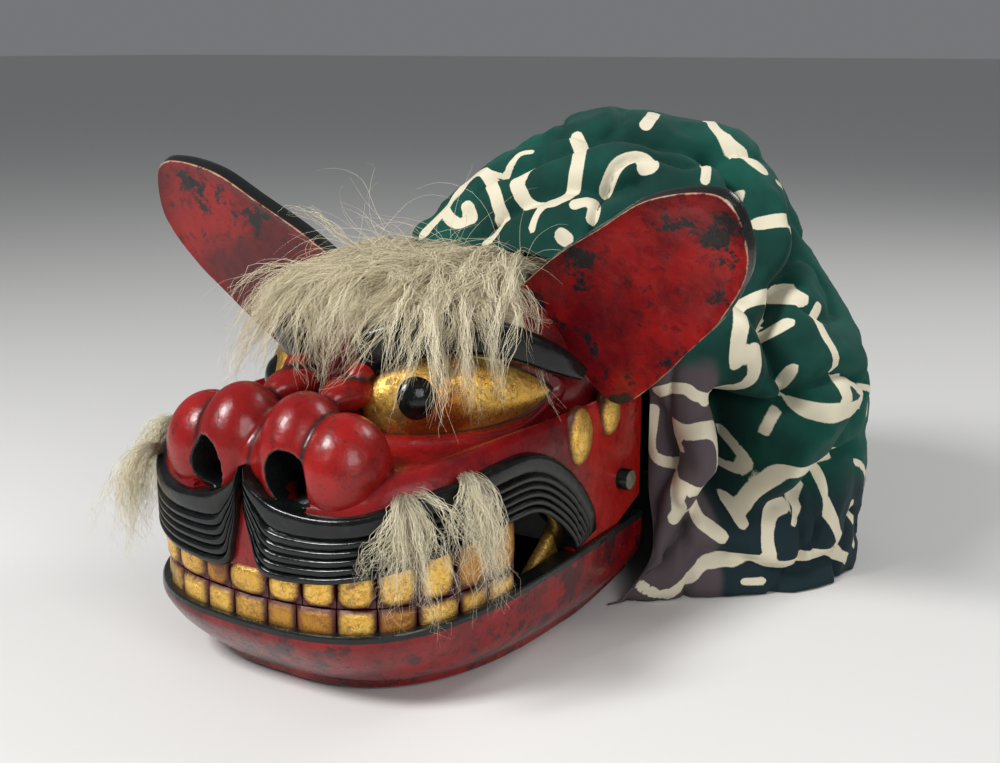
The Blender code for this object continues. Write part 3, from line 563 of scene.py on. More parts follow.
LIP_STATIONS = np.array([
    (0.004, 146, 0.004, 151), (0.011, 124, 0.018, 143), (0.028, 103, 0.050, 137), (0.058, 84, 0.100, 131),
    (0.189, 84, 0.189, 128), (0.291, 88, 0.284, 129), (0.382, 93, 0.364, 134), (0.484, 99, 0.452, 140),
    (0.594, 104, 0.554, 144), (0.692, 107, 0.655, 148), (0.779, 107, 0.747, 149), (0.838, 102, 0.823, 145),
    (0.889, 93, 0.896, 136), (0.932, 84, 0.969, 122), (0.965, 75, 1.031, 106), (0.985, 68, 1.082, 88),
    (1.0, 63.5, 1.111, 70),
])  # fmt: skip
GROOVES = np.array((0, 0.13, 0.26, 0.39, 0.52, 0.66, 1.0))
run = np.linspace(0, 1, 260)
path = smooth_path(LIP_STATIONS, run)
across = np.linspace(0, 1, 85)
share = path[:, None, 0] + (path[:, None, 2] - path[:, None, 0]) * across
height = (path[:, None, 1] + (path[:, None, 3] - path[:, None, 1]) * across) * 0.001
rib = np.clip(np.searchsorted(GROOVES, across, side="right") - 1, 0, len(GROOVES) - 2)
within = (across - GROOVES[rib]) / (GROOVES[rib + 1] - GROOVES[rib])
crown = (1 - np.abs(2 * within - 1) ** 2.6) ** 0.6
crown = crown * (0.8 + 0.4 * within)
ends = np.minimum(1, np.minimum(run, 1 - run) * 18)[:, None]
proud = 0.0022 + 0.0030 * crown * ends
proud = proud - 0.0035 * np.maximum(np.abs(2 * across - 1) - 0.97, 0) / 0.03
x, y = plan(share, WALL, proud)
front = np.stack([x, y, height], -1)
x, y = plan(share[:, ::-1][:, [0, -1]], WALL, -0.006)
behind = np.stack([x, y, height[:, ::-1][:, [0, -1]]], -1)
points, faces = tube_grid(np.concatenate([front, behind], 1))
rubbed = 0.0018 + 0.02 * np.minimum(across, 1 - across) / 0.05
edge = np.concatenate([np.broadcast_to(rubbed, share.shape), np.full((len(run), 2), FAR)], 1)
lip = new_piece("upper_lip_left", points, faces, BLACK, edge=edge)
for piece in (lip, both_sides(lip, "upper_lip_right")):
    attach(piece, "head")

# Eyes: almonds carved proud of the cheek and gilded, each with a round pupil in glossy black lacquer. The
# gold is painted brown under the pupil as the pupil's shadow, and dark where it meets the lid.


def gold_leaf(name, cracks, under):
    """Old gold leaf over a dark undercoat: crinkled, cracked, rubbed bare in places and where crevice is
    small, and browned by the stain attribute: real stains on the teeth, painted shadow under the
    pupil on the eyes."""
    made, tree, shader, place = new_material(name)
    broad = noise(tree, place, 40, 5, 0.65)
    crinkle = noise(tree, place, 240, 6, 0.75, 1.2)
    lines = maths(tree, "ABSOLUTE", maths(tree, "SUBTRACT", noise(tree, place, 85, 5, 0.7, 0.8), 0.5))
    split = maths(tree, "MULTIPLY", ramp(tree, lines, 0.022, 0.008), ramp(tree, broad, 0.40, 0.52))
    split = maths(tree, "MULTIPLY", split, cracks)
    rubbed = broken_edge(tree, broad, crinkle, 0.3, 0.70, 0.80)
    bare = maths(tree, "MAXIMUM", split, maths(tree, "MULTIPLY", rubbed, 0.75))
    shaded = broken_edge(tree, attribute(tree, "crevice"), crinkle, 0.003, 0.0060, 0.0018)
    bare = maths(tree, "MAXIMUM", bare, shaded)
    leaf = mix(tree, ramp(tree, crinkle, 0.35, 0.65), (0.80, 0.42, 0.06, 1), (1.0, 0.68, 0.18, 1))
    # Browned: real stains on the teeth, and on the eyes a painted shadow under the pupil.
    browned = maths(tree, "MULTIPLY", attribute(tree, "stain"), crinkle)
    leaf = mix(tree, browned, leaf, (0.30, 0.075, 0.010, 1))
    tree.links.new(mix(tree, bare, leaf, under), shader.inputs["Base Color"])
    covered = maths(tree, "SUBTRACT", 1.0, bare)
    tree.links.new(maths(tree, "MULTIPLY", covered, 0.9), shader.inputs["Metallic"])
    rough = maths(tree, "ADD", maths(tree, "MULTIPLY", crinkle, 0.32), 0.14)
    tree.links.new(rough, shader.inputs["Roughness"])
    set_bump(tree, shader, maths(tree, "SUBTRACT", crinkle, bare), 0.0009, 0.45)
    return made


GOLD_EYE = gold_leaf("gold_leaf_eye", 0.6, (0.030, 0.010, 0.006, 1))
turns = np.linspace(0, 2 * np.pi, 65)[:-1]
u = np.linspace(0.002, 0.998, 90)
a = -0.034 + EYE_LENGTH * u
tall = eye_half_height(a)
deep = 0.021 * (tall / 0.033) ** 0.8 + 0.001
centre = EYE_MIDDLE + a[:, None] * along_eye + out_of_eye * (-0.009 * u * u)[:, None]
rings = centre[:, None] + out_of_eye * (deep[:, None] * np.cos(turns))[..., None]
rings[..., 2] += tall[:, None] * np.sin(turns)
points, faces = tube_grid(rings)
local = points - PUPIL
# Painted shadow: the gold is browned below and behind the pupil, where the pupil's shadow falls.
stain = np.clip(1.7 - np.hypot(local @ along_eye - 0.010, local[:, 2] + 0.014) / 0.020, 0, 1) * 2.2
rim = np.minimum(((1 - np.abs(np.sin(turns))) * tall[:, None] * 0.6).ravel(), FAR)
rim = np.where((local @ out_of_eye) > -0.010, rim + 0.001, 0)
eye = new_piece("eye_left", points, faces, GOLD_EYE, crevice=rim, stain=stain)
bpy.ops.mesh.primitive_uv_sphere_add(segments=48, ring_count=32, radius=1)
pupil = bpy.context.object
pupil.name = pupil.data.name = "pupil_left"
pupil.data.transform(
    Matrix.Translation(PUPIL + out_of_eye * 0.004)
    @ Matrix.Rotation(EYE_TURN, 4, "Z")
    @ Matrix.Diagonal((0.0162, 0.0130, 0.0165, 1))
)
pupil.data.shade_smooth()
set_fields(pupil.data, edge=np.full(len(pupil.data.vertices), FAR))
pupil.data.materials.append(black_lacquer("pupil_lacquer", 0.02))
for piece in (eye, both_sides(eye, "eye_right"), pupil, both_sides(pupil, "pupil_right")):
    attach(piece, "head")

# Brows: heavy carved bars over the eyes in black lacquer, square at the inner end and drawn out over the
# cheeks.

# Each point is x, y, z, half the bar's depth and half its height.
BROW = np.array([
    (0.024, -0.058, 0.208, 0.010, 0.015), (0.030, -0.057, 0.210, 0.012, 0.016),
    (0.048, -0.047, 0.217, 0.013, 0.015), (0.072, -0.023, 0.218, 0.012, 0.013),
    (0.094, 0.004, 0.211, 0.011, 0.012), (0.112, 0.030, 0.197, 0.009, 0.010),
    (0.122, 0.052, 0.184, 0.004, 0.005),
])  # fmt: skip


def square(v):
    """Draws a circle's sine or cosine out towards a square."""
    return np.sign(v) * np.abs(v) ** 0.6


path = smooth_path(BROW, np.linspace(0, 1, 70))
heading = np.gradient(path[:, :3], axis=0)
heading /= np.linalg.norm(heading, axis=1)[:, None]
side = np.cross(heading, (0, 0, 1))
side /= np.linalg.norm(side, axis=1)[:, None]
rise = np.cross(side, heading)
turns = np.linspace(0, 2 * np.pi, 41)[:-1]
caps = np.minimum(1, (np.linspace(0, 1, 70) * 22 + 0.02)) ** 0.5
wide = (path[:, 3] * caps)[:, None] * square(np.cos(turns))
tall = (path[:, 4] * caps)[:, None] * square(np.sin(turns))
rings = path[:, None, :3] + side[:, None] * wide[..., None] + rise[:, None] * tall[..., None]
points, faces = tube_grid(rings)
corner = np.minimum(np.abs(np.abs(np.cos(turns)) - np.abs(np.sin(turns))), 1) * 0.02 + 0.0024
edge = np.broadcast_to(corner, (70, 40))
brow = new_piece("brow_left", points, faces, BLACK, edge=edge)
for piece in (brow, both_sides(brow, "brow_right")):
    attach(piece, "head")

# Cheek studs: long domes carved behind the mouth, two on each side, and covered with gold leaf that is rubbed
# away round their feet.

GOLD = gold_leaf("gold_leaf", 0.5, (0.10, 0.025, 0.010, 1))
STUDS = ((1.020, 0.143, 0.0150, 0.0215), (1.185, 0.150, 0.0120, 0.0175))  # share, z, half width, half height
for number, (share, z, wide, tall) in enumerate(STUDS):
    x, y = plan(share)
    bpy.ops.mesh.primitive_uv_sphere_add(segments=40, ring_count=24, radius=1)
    stud = bpy.context.object
    stud.name = stud.data.name = f"cheek_stud_{number}_left"
    stud.data.transform(Matrix.Translation((x - 0.002, y, z)) @ Matrix.Diagonal((0.009, wide, tall, 1)))
    stud.data.shade_smooth()
    stud.data.materials.append(GOLD)
    set_fields(stud.data, crevice=[max(v.co.x - x, 0) * 1.2 for v in stud.data.vertices])
    for piece in (stud, both_sides(stud, f"cheek_stud_{number}_right")):
        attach(piece, "head")

# Teeth: rows of carved blocks, gilded over dark red, with the lacquer bare in the gaps. The upper row is part
# of the head and the lower row of the jaw.

GOLD_TEETH = gold_leaf("gold_leaf_teeth", 0.6, (0.060, 0.005, 0.006, 1))
TEETH_END = 0.73


def tooth_row(name, count, low, high, shift, bulge, corner):
    """Teeth along the wall, each a closed block with a swollen face. Their widths differ by shift, and a low
    corner rounds their outline."""
    points, faces, crevices, stains = [], [], [], []
    cuts = np.linspace(-TEETH_END, TEETH_END, count + 1)
    cuts[1:-1] += rng.uniform(-1, 1, count - 1) * shift
    n, m = 21, 15
    across, upward = np.linspace(-1, 1, n), np.linspace(-1, 1, m)
    for s0, s1 in zip(cuts[:-1], cuts[1:]):
        share = s0 + (s1 - s0) * (across * 0.965 + 1) / 2
        bottom, top = low(share), high(share)
        sag = rng.uniform(0.0004, 0.0012)
        u, v = np.meshgrid(across, upward, indexing="ij")
        z = bottom[:, None] + (top - bottom)[:, None] * (v + 1) / 2
        ring = np.minimum((np.abs(u) ** corner + np.abs(v) ** corner) ** (1 / corner), 1)
        round_ = 1 - ring**4
        proud = -0.0018 + bulge * round_ ** 0.6 + sag * round_
        x, y = plan(np.broadcast_to(share[:, None], u.shape), WALL, proud)
        front = np.stack([x, y, z], -1)
        x, y = plan(share, WALL, -0.010)
        back_low, back_high = np.stack([x, y, bottom], -1), np.stack([x, y, top], -1)
        block = np.concatenate([front, back_high[:, None], back_low[:, None]], 1)
        made_points, made_faces = tube_grid(block)
        start = len(points)
        points += made_points.tolist()
        faces += [[start + k for k in f] for f in made_faces]
        gap = (1 - ring) * 0.010 + 0.0002
        crevices += np.concatenate([gap, np.zeros((n, 2))], 1).ravel().tolist()
        stains += [1.6 * rng.uniform() ** 2] * made_points.shape[0]
    return new_piece(name, points, faces, GOLD_TEETH, crevice=crevices, stain=stains)


def rim_z(share):
    """Height of the jaw's rim, which climbs towards the mouth's corner."""
    t = np.minimum(np.abs(share) / 0.95, 1)
    return 0.050 + 0.011 * t * t * (3 - 2 * t)


def bite(share):
    """Height where the two rows meet."""
    return 0.066 + 0.006 * np.abs(share) / TEETH_END


upper = tooth_row(
    "upper_teeth", 15, lambda s: bite(s) + 0.0008, lambda s: wall_bottom(s) + 0.003,
    shift=0.014, bulge=0.0030, corner=3.0,
)  # fmt: skip
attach(upper, "head")
lower = tooth_row(
    "lower_teeth", 15, lambda s: rim_z(s) - 0.008, lambda s: bite(s) - 0.0003,
    shift=0.011, bulge=0.0016, corner=9.0,
)  # fmt: skip
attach(lower, "jaw")

# Lower jaw: a shallow tray cut from one block, open at the top and rear. Red lacquer with black mottling
# below, black on its rim, which is rubbed pale along the outer edge. Two tusks and the hinge boards stand in
# it.

JAW_RED = red_lacquer("jaw_lacquer", 0.85, 0.95, patches=0.75)
# Outlines of the tray from the rim down: outline, height (None or below 0 is from the rim) and how far the
# rear lifts.
SIDES = [
    ((-0.158, 0.133, 0.034, 3.2, 0.128), None, 0.0),
    ((-0.157, 0.1325, 0.034, 3.2, 0.128), -0.009, 0.0),
    ((-0.146, 0.128, 0.036, 3.0, 0.125), 0.026, 0.45),
    ((-0.128, 0.115, 0.040, 2.8, 0.116), 0.009, 0.85),
    ((-0.109, 0.100, 0.044, 2.6, 0.102), 0.0, 1.0),
]


def tray(shares, rows, inset, floor):
    """Skin of the tray, rim first. The inside is the same form, drawn in and lifted."""
    lines = []
    for outline, z, lift in SIDES:
        x, y = plan(shares, outline, -inset)
        rise = 0.012 * (np.maximum(y - 0.060, 0) / 0.077) ** 1.5
        height = rim_z(shares) + (z or 0) if z is None or z < 0 else z + rise * lift
        lines.append(np.stack([x, y, np.maximum(height, floor + rise)], -1))
    y = REAR_Y * np.abs(shares) / REAR_SHARE
    lines.append(np.stack([0 * y, y, floor + 0.012 * (np.maximum(y - 0.060, 0) / 0.077) ** 1.5], -1))
    lines = np.array(lines)
    skin = []
    for k in np.linspace(0, 1, rows):
        skin.append(smooth_path(lines, np.full(len(shares), k)))
    skin = np.array(skin)
    skin[..., 2] = np.maximum(skin[..., 2], floor)
    return skin


shares = np.linspace(-REAR_SHARE, REAR_SHARE, 241)
outside = tray(shares, 60, 0.0, 0.0)
within = tray(shares, 30, 0.014, 0.010)
brim = outside[0] + (within[0] - outside[0]) * np.array([0.06, 0.5, 0.94])[:, None, None] + (0, 0, 0.0012)
skin = np.concatenate([outside[::-1], brim, within])
faces = grid_faces(*skin.shape[:2]).tolist()
rows, columns = skin.shape[:2]
for side in (0, columns - 1):
    faces.append([i * columns + side for i in range(rows)])
below_rim = rim_z(shares) - outside[::-1][..., 2]
depth = np.concatenate([below_rim, np.full((3, columns), -0.001), np.full((30, columns), -0.01)])
black_rim = np.clip((0.0042 - depth) / 0.002, 0, 1)
rubbed = np.where(np.abs(depth - 0.0008) < 0.0008, 0.0004, FAR)
clear = np.full(depth.shape, FAR)
jaw = new_piece("jaw_tray", skin, faces, JAW_RED, inside=black_rim, crevice=clear, edge=rubbed)
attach(jaw, "jaw")
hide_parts("lower_jaw")


def mouth_plate(outline_points, layers):
    """A rounded plate that follows the mouth wall. A layer is an outline's size and depth behind the wall."""
    loop = smooth_path(outline_points + outline_points[:1], np.linspace(0, 1, 81)[:-1])
    middle = loop.mean(0)
    rings = []
    for size, inset in layers:
        place = middle + (loop - middle) * size
        x, y = plan(place[:, 0], WALL, -inset)
        rings.append(np.stack([x, y, place[:, 1] * 0.001], -1))
    return tube_grid(rings)


TUSK = [
    (0.830, 50), (0.890, 47), (0.955, 47), (1.020, 54), (1.045, 68), (1.030, 84), (0.985, 76), (0.915, 64),
]  # fmt: skip
TUSK_LAYERS = [
    (0.02, 0.0135), (0.5, 0.0136), (0.8, 0.0145), (0.96, 0.0162), (1, 0.018), (0.96, 0.0205), (0.8, 0.022),
    (0.02, 0.022),
]  # fmt: skip
points, faces = mouth_plate(TUSK, TUSK_LAYERS)
sizes = np.repeat([size for size, _ in TUSK_LAYERS], 80)
tusk = new_piece("tusk_left", points, faces, GOLD_TEETH, crevice=(1 - sizes) * 0.012 + 0.002)
for piece in (tusk, both_sides(tusk, "tusk_right")):
    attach(piece, "jaw")

HINGE_Y, HINGE_Z = 0.104, 0.096
BOARD_HALF, BOARD_FOOT = 0.017, 0.012
turns = np.linspace(0, np.pi, 33)
board = [(HINGE_Y - BOARD_HALF, BOARD_FOOT)]
board += [(HINGE_Y - BOARD_HALF * math.cos(t), HINGE_Z + BOARD_HALF * math.sin(t)) for t in turns]
board = np.array([*board, (HINGE_Y + BOARD_HALF, BOARD_FOOT)])
middle = board.mean(0)
rings = []
for x, inset in ((0.1018, 0.0015), (0.1030, 0), (0.1106, 0), (0.1118, 0.0015)):
    away = board - middle
    loop = middle + away * (1 - inset / np.linalg.norm(away, axis=1))[:, None]
    rings.append(np.column_stack([np.full(len(loop), x), loop]))
points, faces = tube_grid(rings)
hinge_board = new_piece("hinge_board_left", points, faces, BLACK, edge=np.full(len(points), FAR))
for piece in (hinge_board, both_sides(hinge_board, "hinge_board_right")):
    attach(piece, "jaw")

# Pegs: turned wood, driven through the head's wall and the hinge boards, so that the jaw swings on them.
# Black lacquer with rubbed ends.

turns = np.linspace(0, 2 * np.pi, 49)[:-1]
PEG = [
    (0.0978, 0.0066), (0.0990, 0.0078), (0.1335, 0.0078), (0.1347, 0.0070), (0.1350, 0.0055),
    (0.1352, 0.0002),
]  # fmt: skip
rings = []
for x, radius in PEG:
    y, z = HINGE_Y + radius * np.cos(turns), HINGE_Z + radius * np.sin(turns)
    rings.append(np.stack([0 * turns + x, y, z], -1))
points, faces = tube_grid(rings)
rubbed = np.repeat([FAR if radius > 0.0077 else 0.0 for _, radius in PEG], 48)
peg = new_piece("peg_left", points, faces, BLACK, edge=rubbed)
for piece, node in ((peg, "pivot_peg_left"), (both_sides(peg, "peg_right"), "pivot_peg_right")):
    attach(piece, "head")
    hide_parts(node)

# Ears: carved plates pegged to the crown, with a hollow red face, blotched with black, a rubbed pale rim and
# a thick rounded back in black lacquer.

EAR = np.array([
    (72, 44, 236), (108, 36, 264), (147, 28, 287), (180, 21, 306), (214, 19, 314), (236, 19, 311),
    (246, 25, 293), (246, 33, 265), (226, 43, 233), (200, 51, 207), (176, 59, 184), (152, 64, 165),
    (138, 65, 163), (123, 63, 176), (103, 56, 201), (74, 48, 214), (72, 44, 236),
]) * 0.001  # fmt: skip
rim = smooth_path(EAR, np.linspace(0, 1, 161)[:-1])
middle = EAR[:-1].mean(0)
ear_back = np.cross(EAR[4] - EAR[0], EAR[11] - EAR[0])
ear_back *= np.copysign(1 / np.linalg.norm(ear_back), ear_back[1])
rim -= ((rim - middle) @ ear_back)[:, None] * ear_back * 0.85
# From the face to the back: size of the rim's outline, depth, how far from the rubbed rim, and black or not.
EAR_LAYERS = [(size, 0.0012 * min(1, (1 - size) * 9), 1 - size, 0) for size in np.linspace(0.02, 0.9, 18)]
EAR_LAYERS += [(0.95, 0.0005, 0.05, 0), (0.98, 0.0002, 0.02, 0), (0.992, 0, 0.008, 0), (1, 0.0009, 0, 0)]
EAR_LAYERS += [(1, 0.0030, 0.1, 1), (1.012, 0.0060, 0.1, 1), (1.018, 0.0095, 0.1, 1), (1.0, 0.0130, 0.1, 1)]
for size in (0.94, 0.88, 0.8, 0.7, 0.58, 0.44, 0.3, 0.16, 0.02):
    EAR_LAYERS.append((size, 0.0130 + 0.0060 * (1 - size**2.6) ** 0.7, 0.1, 1))
rings = [middle + (rim - middle) * size + ear_back * depth for size, depth, _, _ in EAR_LAYERS]
points, faces = tube_grid(rings)
border = np.repeat([layer[2] for layer in EAR_LAYERS], 160) * 0.09
painted = np.repeat([layer[3] for layer in EAR_LAYERS], 160)
EAR_RED = red_lacquer("ear_lacquer", 0.35, 0.8, patches=1.0)
clear = np.full(len(points), FAR)
ear = new_piece("ear_plate_left", points, faces, EAR_RED, edge=border, inside=painted, crevice=clear)
for piece, node in ((ear, "ear_left"), (both_sides(ear, "ear_plate_right"), "ear_right")):
    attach(piece, "head")
    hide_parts(node)

# Forelock: pale horsehair in locks, glued in two rows over a mat along the crown and hanging over the brow
# and the eyes. Every strand is a thin tapered tube.


def horsehair(name):
    made, tree, shader, place = new_material(name)
    grain = noise(tree, place, 60, 4, 0.6)
    tone = mix(tree, attribute(tree, "shade"), (0.50, 0.41, 0.25, 1), (1.0, 0.93, 0.70, 1))
    # Painted shade: strands darken towards their roots, deep under the hair above them.
    tone = mix(tree, ramp(tree, attribute(tree, "root"), 0.35, 0.0), tone, (0.26, 0.22, 0.15, 1))
    tone = mix(tree, maths(tree, "MULTIPLY", grain, 0.35), tone, (0.66, 0.58, 0.40, 1))
    tree.links.new(tone, shader.inputs["Base Color"])
    shader.inputs["Roughness"].default_value = 0.42
    shader.inputs["Specular IOR Level"].default_value = 0.35
    return made


HAIR = horsehair("horsehair")


def strands(name, paths, radius, shade):
    """Thin three-sided strands from paths of shape (strands, points, 3), thinning to their tips."""
    count, steps = paths.shape[:2]
    heading = np.gradient(paths, axis=1)
    heading /= np.linalg.norm(heading, axis=-1, keepdims=True) + 1e-12
    side = np.cross(heading, np.array((0.31, 0.17, 0.93)))
    side /= np.linalg.norm(side, axis=-1, keepdims=True) + 1e-12
    over = np.cross(side, heading)
    t = np.linspace(0, 1, steps)
    thick = (np.asarray(radius)[:, None] * (1 - 0.8 * t**2))[..., None, None]
    turns = (np.arange(3) * 2 * np.pi / 3)[:, None]
    around = side[:, :, None] * np.cos(turns) + over[:, :, None] * np.sin(turns)
    points = paths[:, :, None] + around * thick
    starts = (np.arange(count) * steps * 3)[:, None, None]
    faces = (grid_faces(steps, 3, wrap=True) + starts).reshape(-1, 4).tolist()
    ends = np.array([[2, 1, 0], [steps * 3 - 3, steps * 3 - 2, steps * 3 - 1]])
    faces += (ends + starts).reshape(-1, 3).tolist()
    mesh = bpy.data.meshes.new(name)
    mesh.from_pydata(points.reshape(-1, 3).tolist(), [], faces)
    set_fields(mesh, shade=np.repeat(shade, steps * 3), root=np.tile(np.repeat(t, 3), count))
    mesh.shade_smooth()
    mesh.materials.append(HAIR)
    obj = bpy.data.objects.new(name, mesh)
    bpy.context.collection.objects.link(obj)
    return obj


def fringe_level(share):
    return np.interp(np.abs(share), (0, 0.25, 0.42, 0.56, 0.70), (6.5, 6.3, 5.6, 5.3, 5.8))


def grow(roots, headings, lengths, layers, weight, locks, swirl, steps=15):
    """Paths that leave their roots, lie over the carving at their own layer and sag under their weight."""
    paths = np.empty((len(roots), steps, 3))
    for k, (root, heading) in enumerate(zip(roots, headings)):
        place, ahead = Vector(root), Vector(heading)
        drift = Vector((locks[k] * 1.37, locks[k] * 0.71, 0))
        paths[k, 0] = place
        for i in range(1, steps):
            curl = noise3.noise_vector(place * 24 + drift) * swirl
            curl += noise3.noise_vector(place * 75 + drift) * swirl * 0.7
            ahead = (ahead + curl + Vector((0, 0, -weight))).normalized()
            place = place + ahead * (lengths[k] / (steps - 1))
            spot, normal, _, _ = carving.find_nearest(place)
            clear = layers[k] * min(1, i / 3) + 0.0006
            above = (place - spot).dot(normal)
            if above < clear:
                place = place + normal * (clear - above)
            paths[k, i] = place
    return paths


def comb(guides, each, spread, pinch, frizz):
    """Strands round every guide path: loose at the root, drawn in to the tip, each with its own wave."""
    count, steps = len(guides) * each, guides.shape[1]
    t = np.linspace(0, 1, steps)
    reach = rng.uniform(0.70, 1, count)[:, None] * t * (steps - 1)
    i = np.minimum(reach.astype(int), steps - 2)
    part = (reach - i)[..., None]
    base, strand = np.repeat(guides, each, axis=0), np.arange(count)[:, None]
    base = base[strand, i] * (1 - part) + base[strand, i + 1] * part
    own = rng.normal(0, spread, (count, 1, 3)) * (1 + (pinch - 1) * np.sin(t * np.pi / 2))[:, None]
    waves = rng.uniform(1.0, 4.5, (count, 1, 3)) * t[:, None]
    turns = 2 * np.pi * (waves + rng.uniform(0, 1, (count, 1, 3)))
    return base + own + np.sin(turns) * (frizz * t)[:, None]


CARVED = (
    "head_shell", "nose", "brow_left", "brow_right", "eye_left", "eye_right", "pupil_left", "pupil_right",
    "upper_lip_left", "upper_lip_right", "upper_teeth", "lower_teeth", "ear_plate_left", "ear_plate_right",
)  # fmt: skip
bm = bmesh.new()
for piece in bpy.data.objects:
    if piece.name in CARVED:
        bm.from_mesh(piece.data)
carving = BVHTree.FromBMesh(bm)
bm.free()

LOCKS, EACH = 150, 15
layers_of_hair = []
for name in ("forelock_under", "forelock_over"):
    side = rng.uniform(-1, 1, LOCKS)
    back_row = rng.uniform(0, 1, LOCKS)
    crown = zip(side * (0.060 + 0.012 * back_row), -0.030 + 0.125 * back_row + 0.022 * side**2)
    roots = np.array([carving.ray_cast(Vector((x, y, 0.4)), Vector((0, 0, -1)))[0] for x, y in crown])
    lean = rng.normal(0, 0.20, LOCKS)
    sideways = np.where(side > 0, 0.42, -0.16) * side + lean
    forward = -1 + rng.normal(0, 0.2, LOCKS)
    headings = np.stack([sideways, forward, rng.uniform(0.1, 0.6, LOCKS)], -1)
    headings /= np.linalg.norm(headings, axis=1, keepdims=True)
    outer_locks = np.clip((np.abs(side) - 0.4) / 0.3, 0, 1)
    lengths = rng.uniform(0.080, 0.120, LOCKS) + 0.034 * back_row
    lengths = lengths + 0.040 * outer_locks * rng.uniform(0, 1, LOCKS)
    guides = grow(roots, headings, lengths, rng.uniform(0.002, 0.014, LOCKS), 0.17, np.arange(LOCKS), 0.25)
    paths = comb(guides, EACH, 0.0034, 0.45, 0.0030)
    shade = rng.normal(0.62, 0.15, LOCKS).repeat(EACH) + rng.normal(0, 0.14, LOCKS * EACH)
    radius = rng.uniform(0.00015, 0.00030, LOCKS * EACH)
    layers_of_hair.append(strands(name, paths, radius, np.clip(shade, 0, 1)))

WILD = 150
pick = rng.integers(0, LOCKS, WILD)
headings = headings[pick] + rng.normal(0, 0.5, (WILD, 3)) + (0, 0, 0.35)
headings /= np.linalg.norm(headings, axis=1, keepdims=True)
paths = grow(roots[pick], headings, rng.uniform(0.05, 0.12, WILD), np.full(WILD, 0.012), 0.11, pick, 0.34)
layers_of_hair.append(strands("forelock_flyaways", paths, np.full(WILD, 0.00014), rng.uniform(0.5, 1, WILD)))

mat_share = np.linspace(-0.64, 0.64, 90)
k = np.linspace(0, 1, 40)[:, None]
lowest = fringe_level(mat_share) + 0.35
level = lowest + (9 - lowest) * k
share = mat_share * (1 + 0.35 * np.clip(level - 8, 0, 1)) * (1 - 0.07 * np.clip(8 - level, 0, 9))
swell = (1 - (np.abs(mat_share) / 0.64) ** 4) * np.minimum(k * 5, 1) ** 0.5
lumps = 0.0016 * np.sin(share * 60 + level * 2.3) * np.sin(share * 23 - level * 5.1)
over = skull(share, level, 0.0012 + (0.0075 + lumps) * swell)
under = skull(share, level, -0.003)
points, faces = tube_grid(np.concatenate([over, under[:, ::-1]], 1))
# The mat takes the colour of dull strands near their roots: painted shade under the hair.
dull, rooted = np.full(len(points), 0.35), np.full(len(points), 0.2)
mat = new_piece("forelock_mat", points, faces, HAIR, shade=dull, root=rooted)
for piece in (*layers_of_hair, mat):
    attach(piece, "head")
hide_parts("forelock")

# Whiskers: four tufts of the same horsehair, plugged into holes in the upper lip. They fall over the lip and
# hang past the teeth, with loose curling ends.


def tuft(name, share, z, length, side, amount=28, each=12):
    """One tuft: guide paths from a small plug in the lip, each with its own few strands."""
    x, y = plan(share, WALL, 0.0035)
    ahead = np.array(plan(share + 0.02, WALL, 0.0035)) - (x, y)
    along = np.array((*(ahead / np.linalg.norm(ahead)), 0))
    out = np.array((along[1], -along[0], 0))
    roots = np.array((x, y, z)) + rng.normal(0, 0.0026, (amount, 1)) * along
    roots = roots + rng.normal(0, 0.0016, (amount, 1)) * (0, 0, 1)
    lean, lift = rng.normal(-0.02, 0.24, (amount, 1)), rng.uniform(-0.1, 0.45, (amount, 1))
    headings = out * 0.60 + lean * along + lift * (0, 0, 1)
    headings /= np.linalg.norm(headings, axis=1, keepdims=True)
    flip = np.array((side, 1, 1))
    lengths = length * rng.uniform(0.6, 1.2, amount)
    layers = rng.uniform(0.001, 0.010, amount)
    drifts = np.arange(amount) + share * 90 + side
    guides = grow(roots * flip, headings * flip, lengths, layers, 0.40, drifts, 0.30)
    shade = np.clip(rng.normal(0.80, 0.12, amount * each), 0, 1)
    paths = comb(guides, each, 0.0012, 1.5, 0.0040)
    return strands(name, paths, rng.uniform(0.00010, 0.00019, amount * each), shade)


for where, share, z, length in (("front", 0.40, 0.140, 0.082), ("rear", 0.55, 0.146, 0.084)):
    for side, hand in ((1, "left"), (-1, "right")):
        piece = tuft(f"tuft_{where}_{hand}", share, z, length, side)
        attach(piece, "head")
        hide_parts(f"whiskers_{where}_{hand}")

# Body cloth: dyed cotton, tacked round the head's rear and bundled behind it, printed with a cream
# scroll of hooks. Green on top, going to grey purple beside the head and to a darker slate low down near the
# floor.

ARCHES = np.array([
    (-0.07, -0.12, 0.000, 0.000, 0.24, 0.08, 3.0), (0.02, -0.03, 0.116, 0.194, 0.41, 0.43, 2.5),
    (0.15, 0.12, 0.272, 0.466, 0.59, 0.80, 2.2), (0.29, 0.30, 0.427, 0.699, 0.71, 1.00, 2.2),
    (0.48, 0.51, 0.466, 0.738, 0.73, 0.90, 2.2), (0.68, 0.74, 0.447, 0.621, 0.57, 0.33, 2.2),
    (0.85, 0.92, 0.427, 0.583, 0.32, -0.78, 2.3), (0.95, 1.00, 0.369, 0.388, -0.15, -2.57, 2.6),
])  # fmt: skip
rear_levels = np.array((1, 2, 3, 5, 6, 7, 8, 9))
rear_rows = skull(np.full(8, REAR_SHARE), rear_levels, 0.006)
rear_rows[:, 1] = 0.139 - 0.035 * np.maximum(rear_levels - 5, 0) / 4
hug_foot = np.array([(0.123, 0.091, -0.008), (0.142, 0.125, 0.032), (0.132, 0.139, 0.080)])
HUG = np.concatenate([hug_foot, rear_rows])


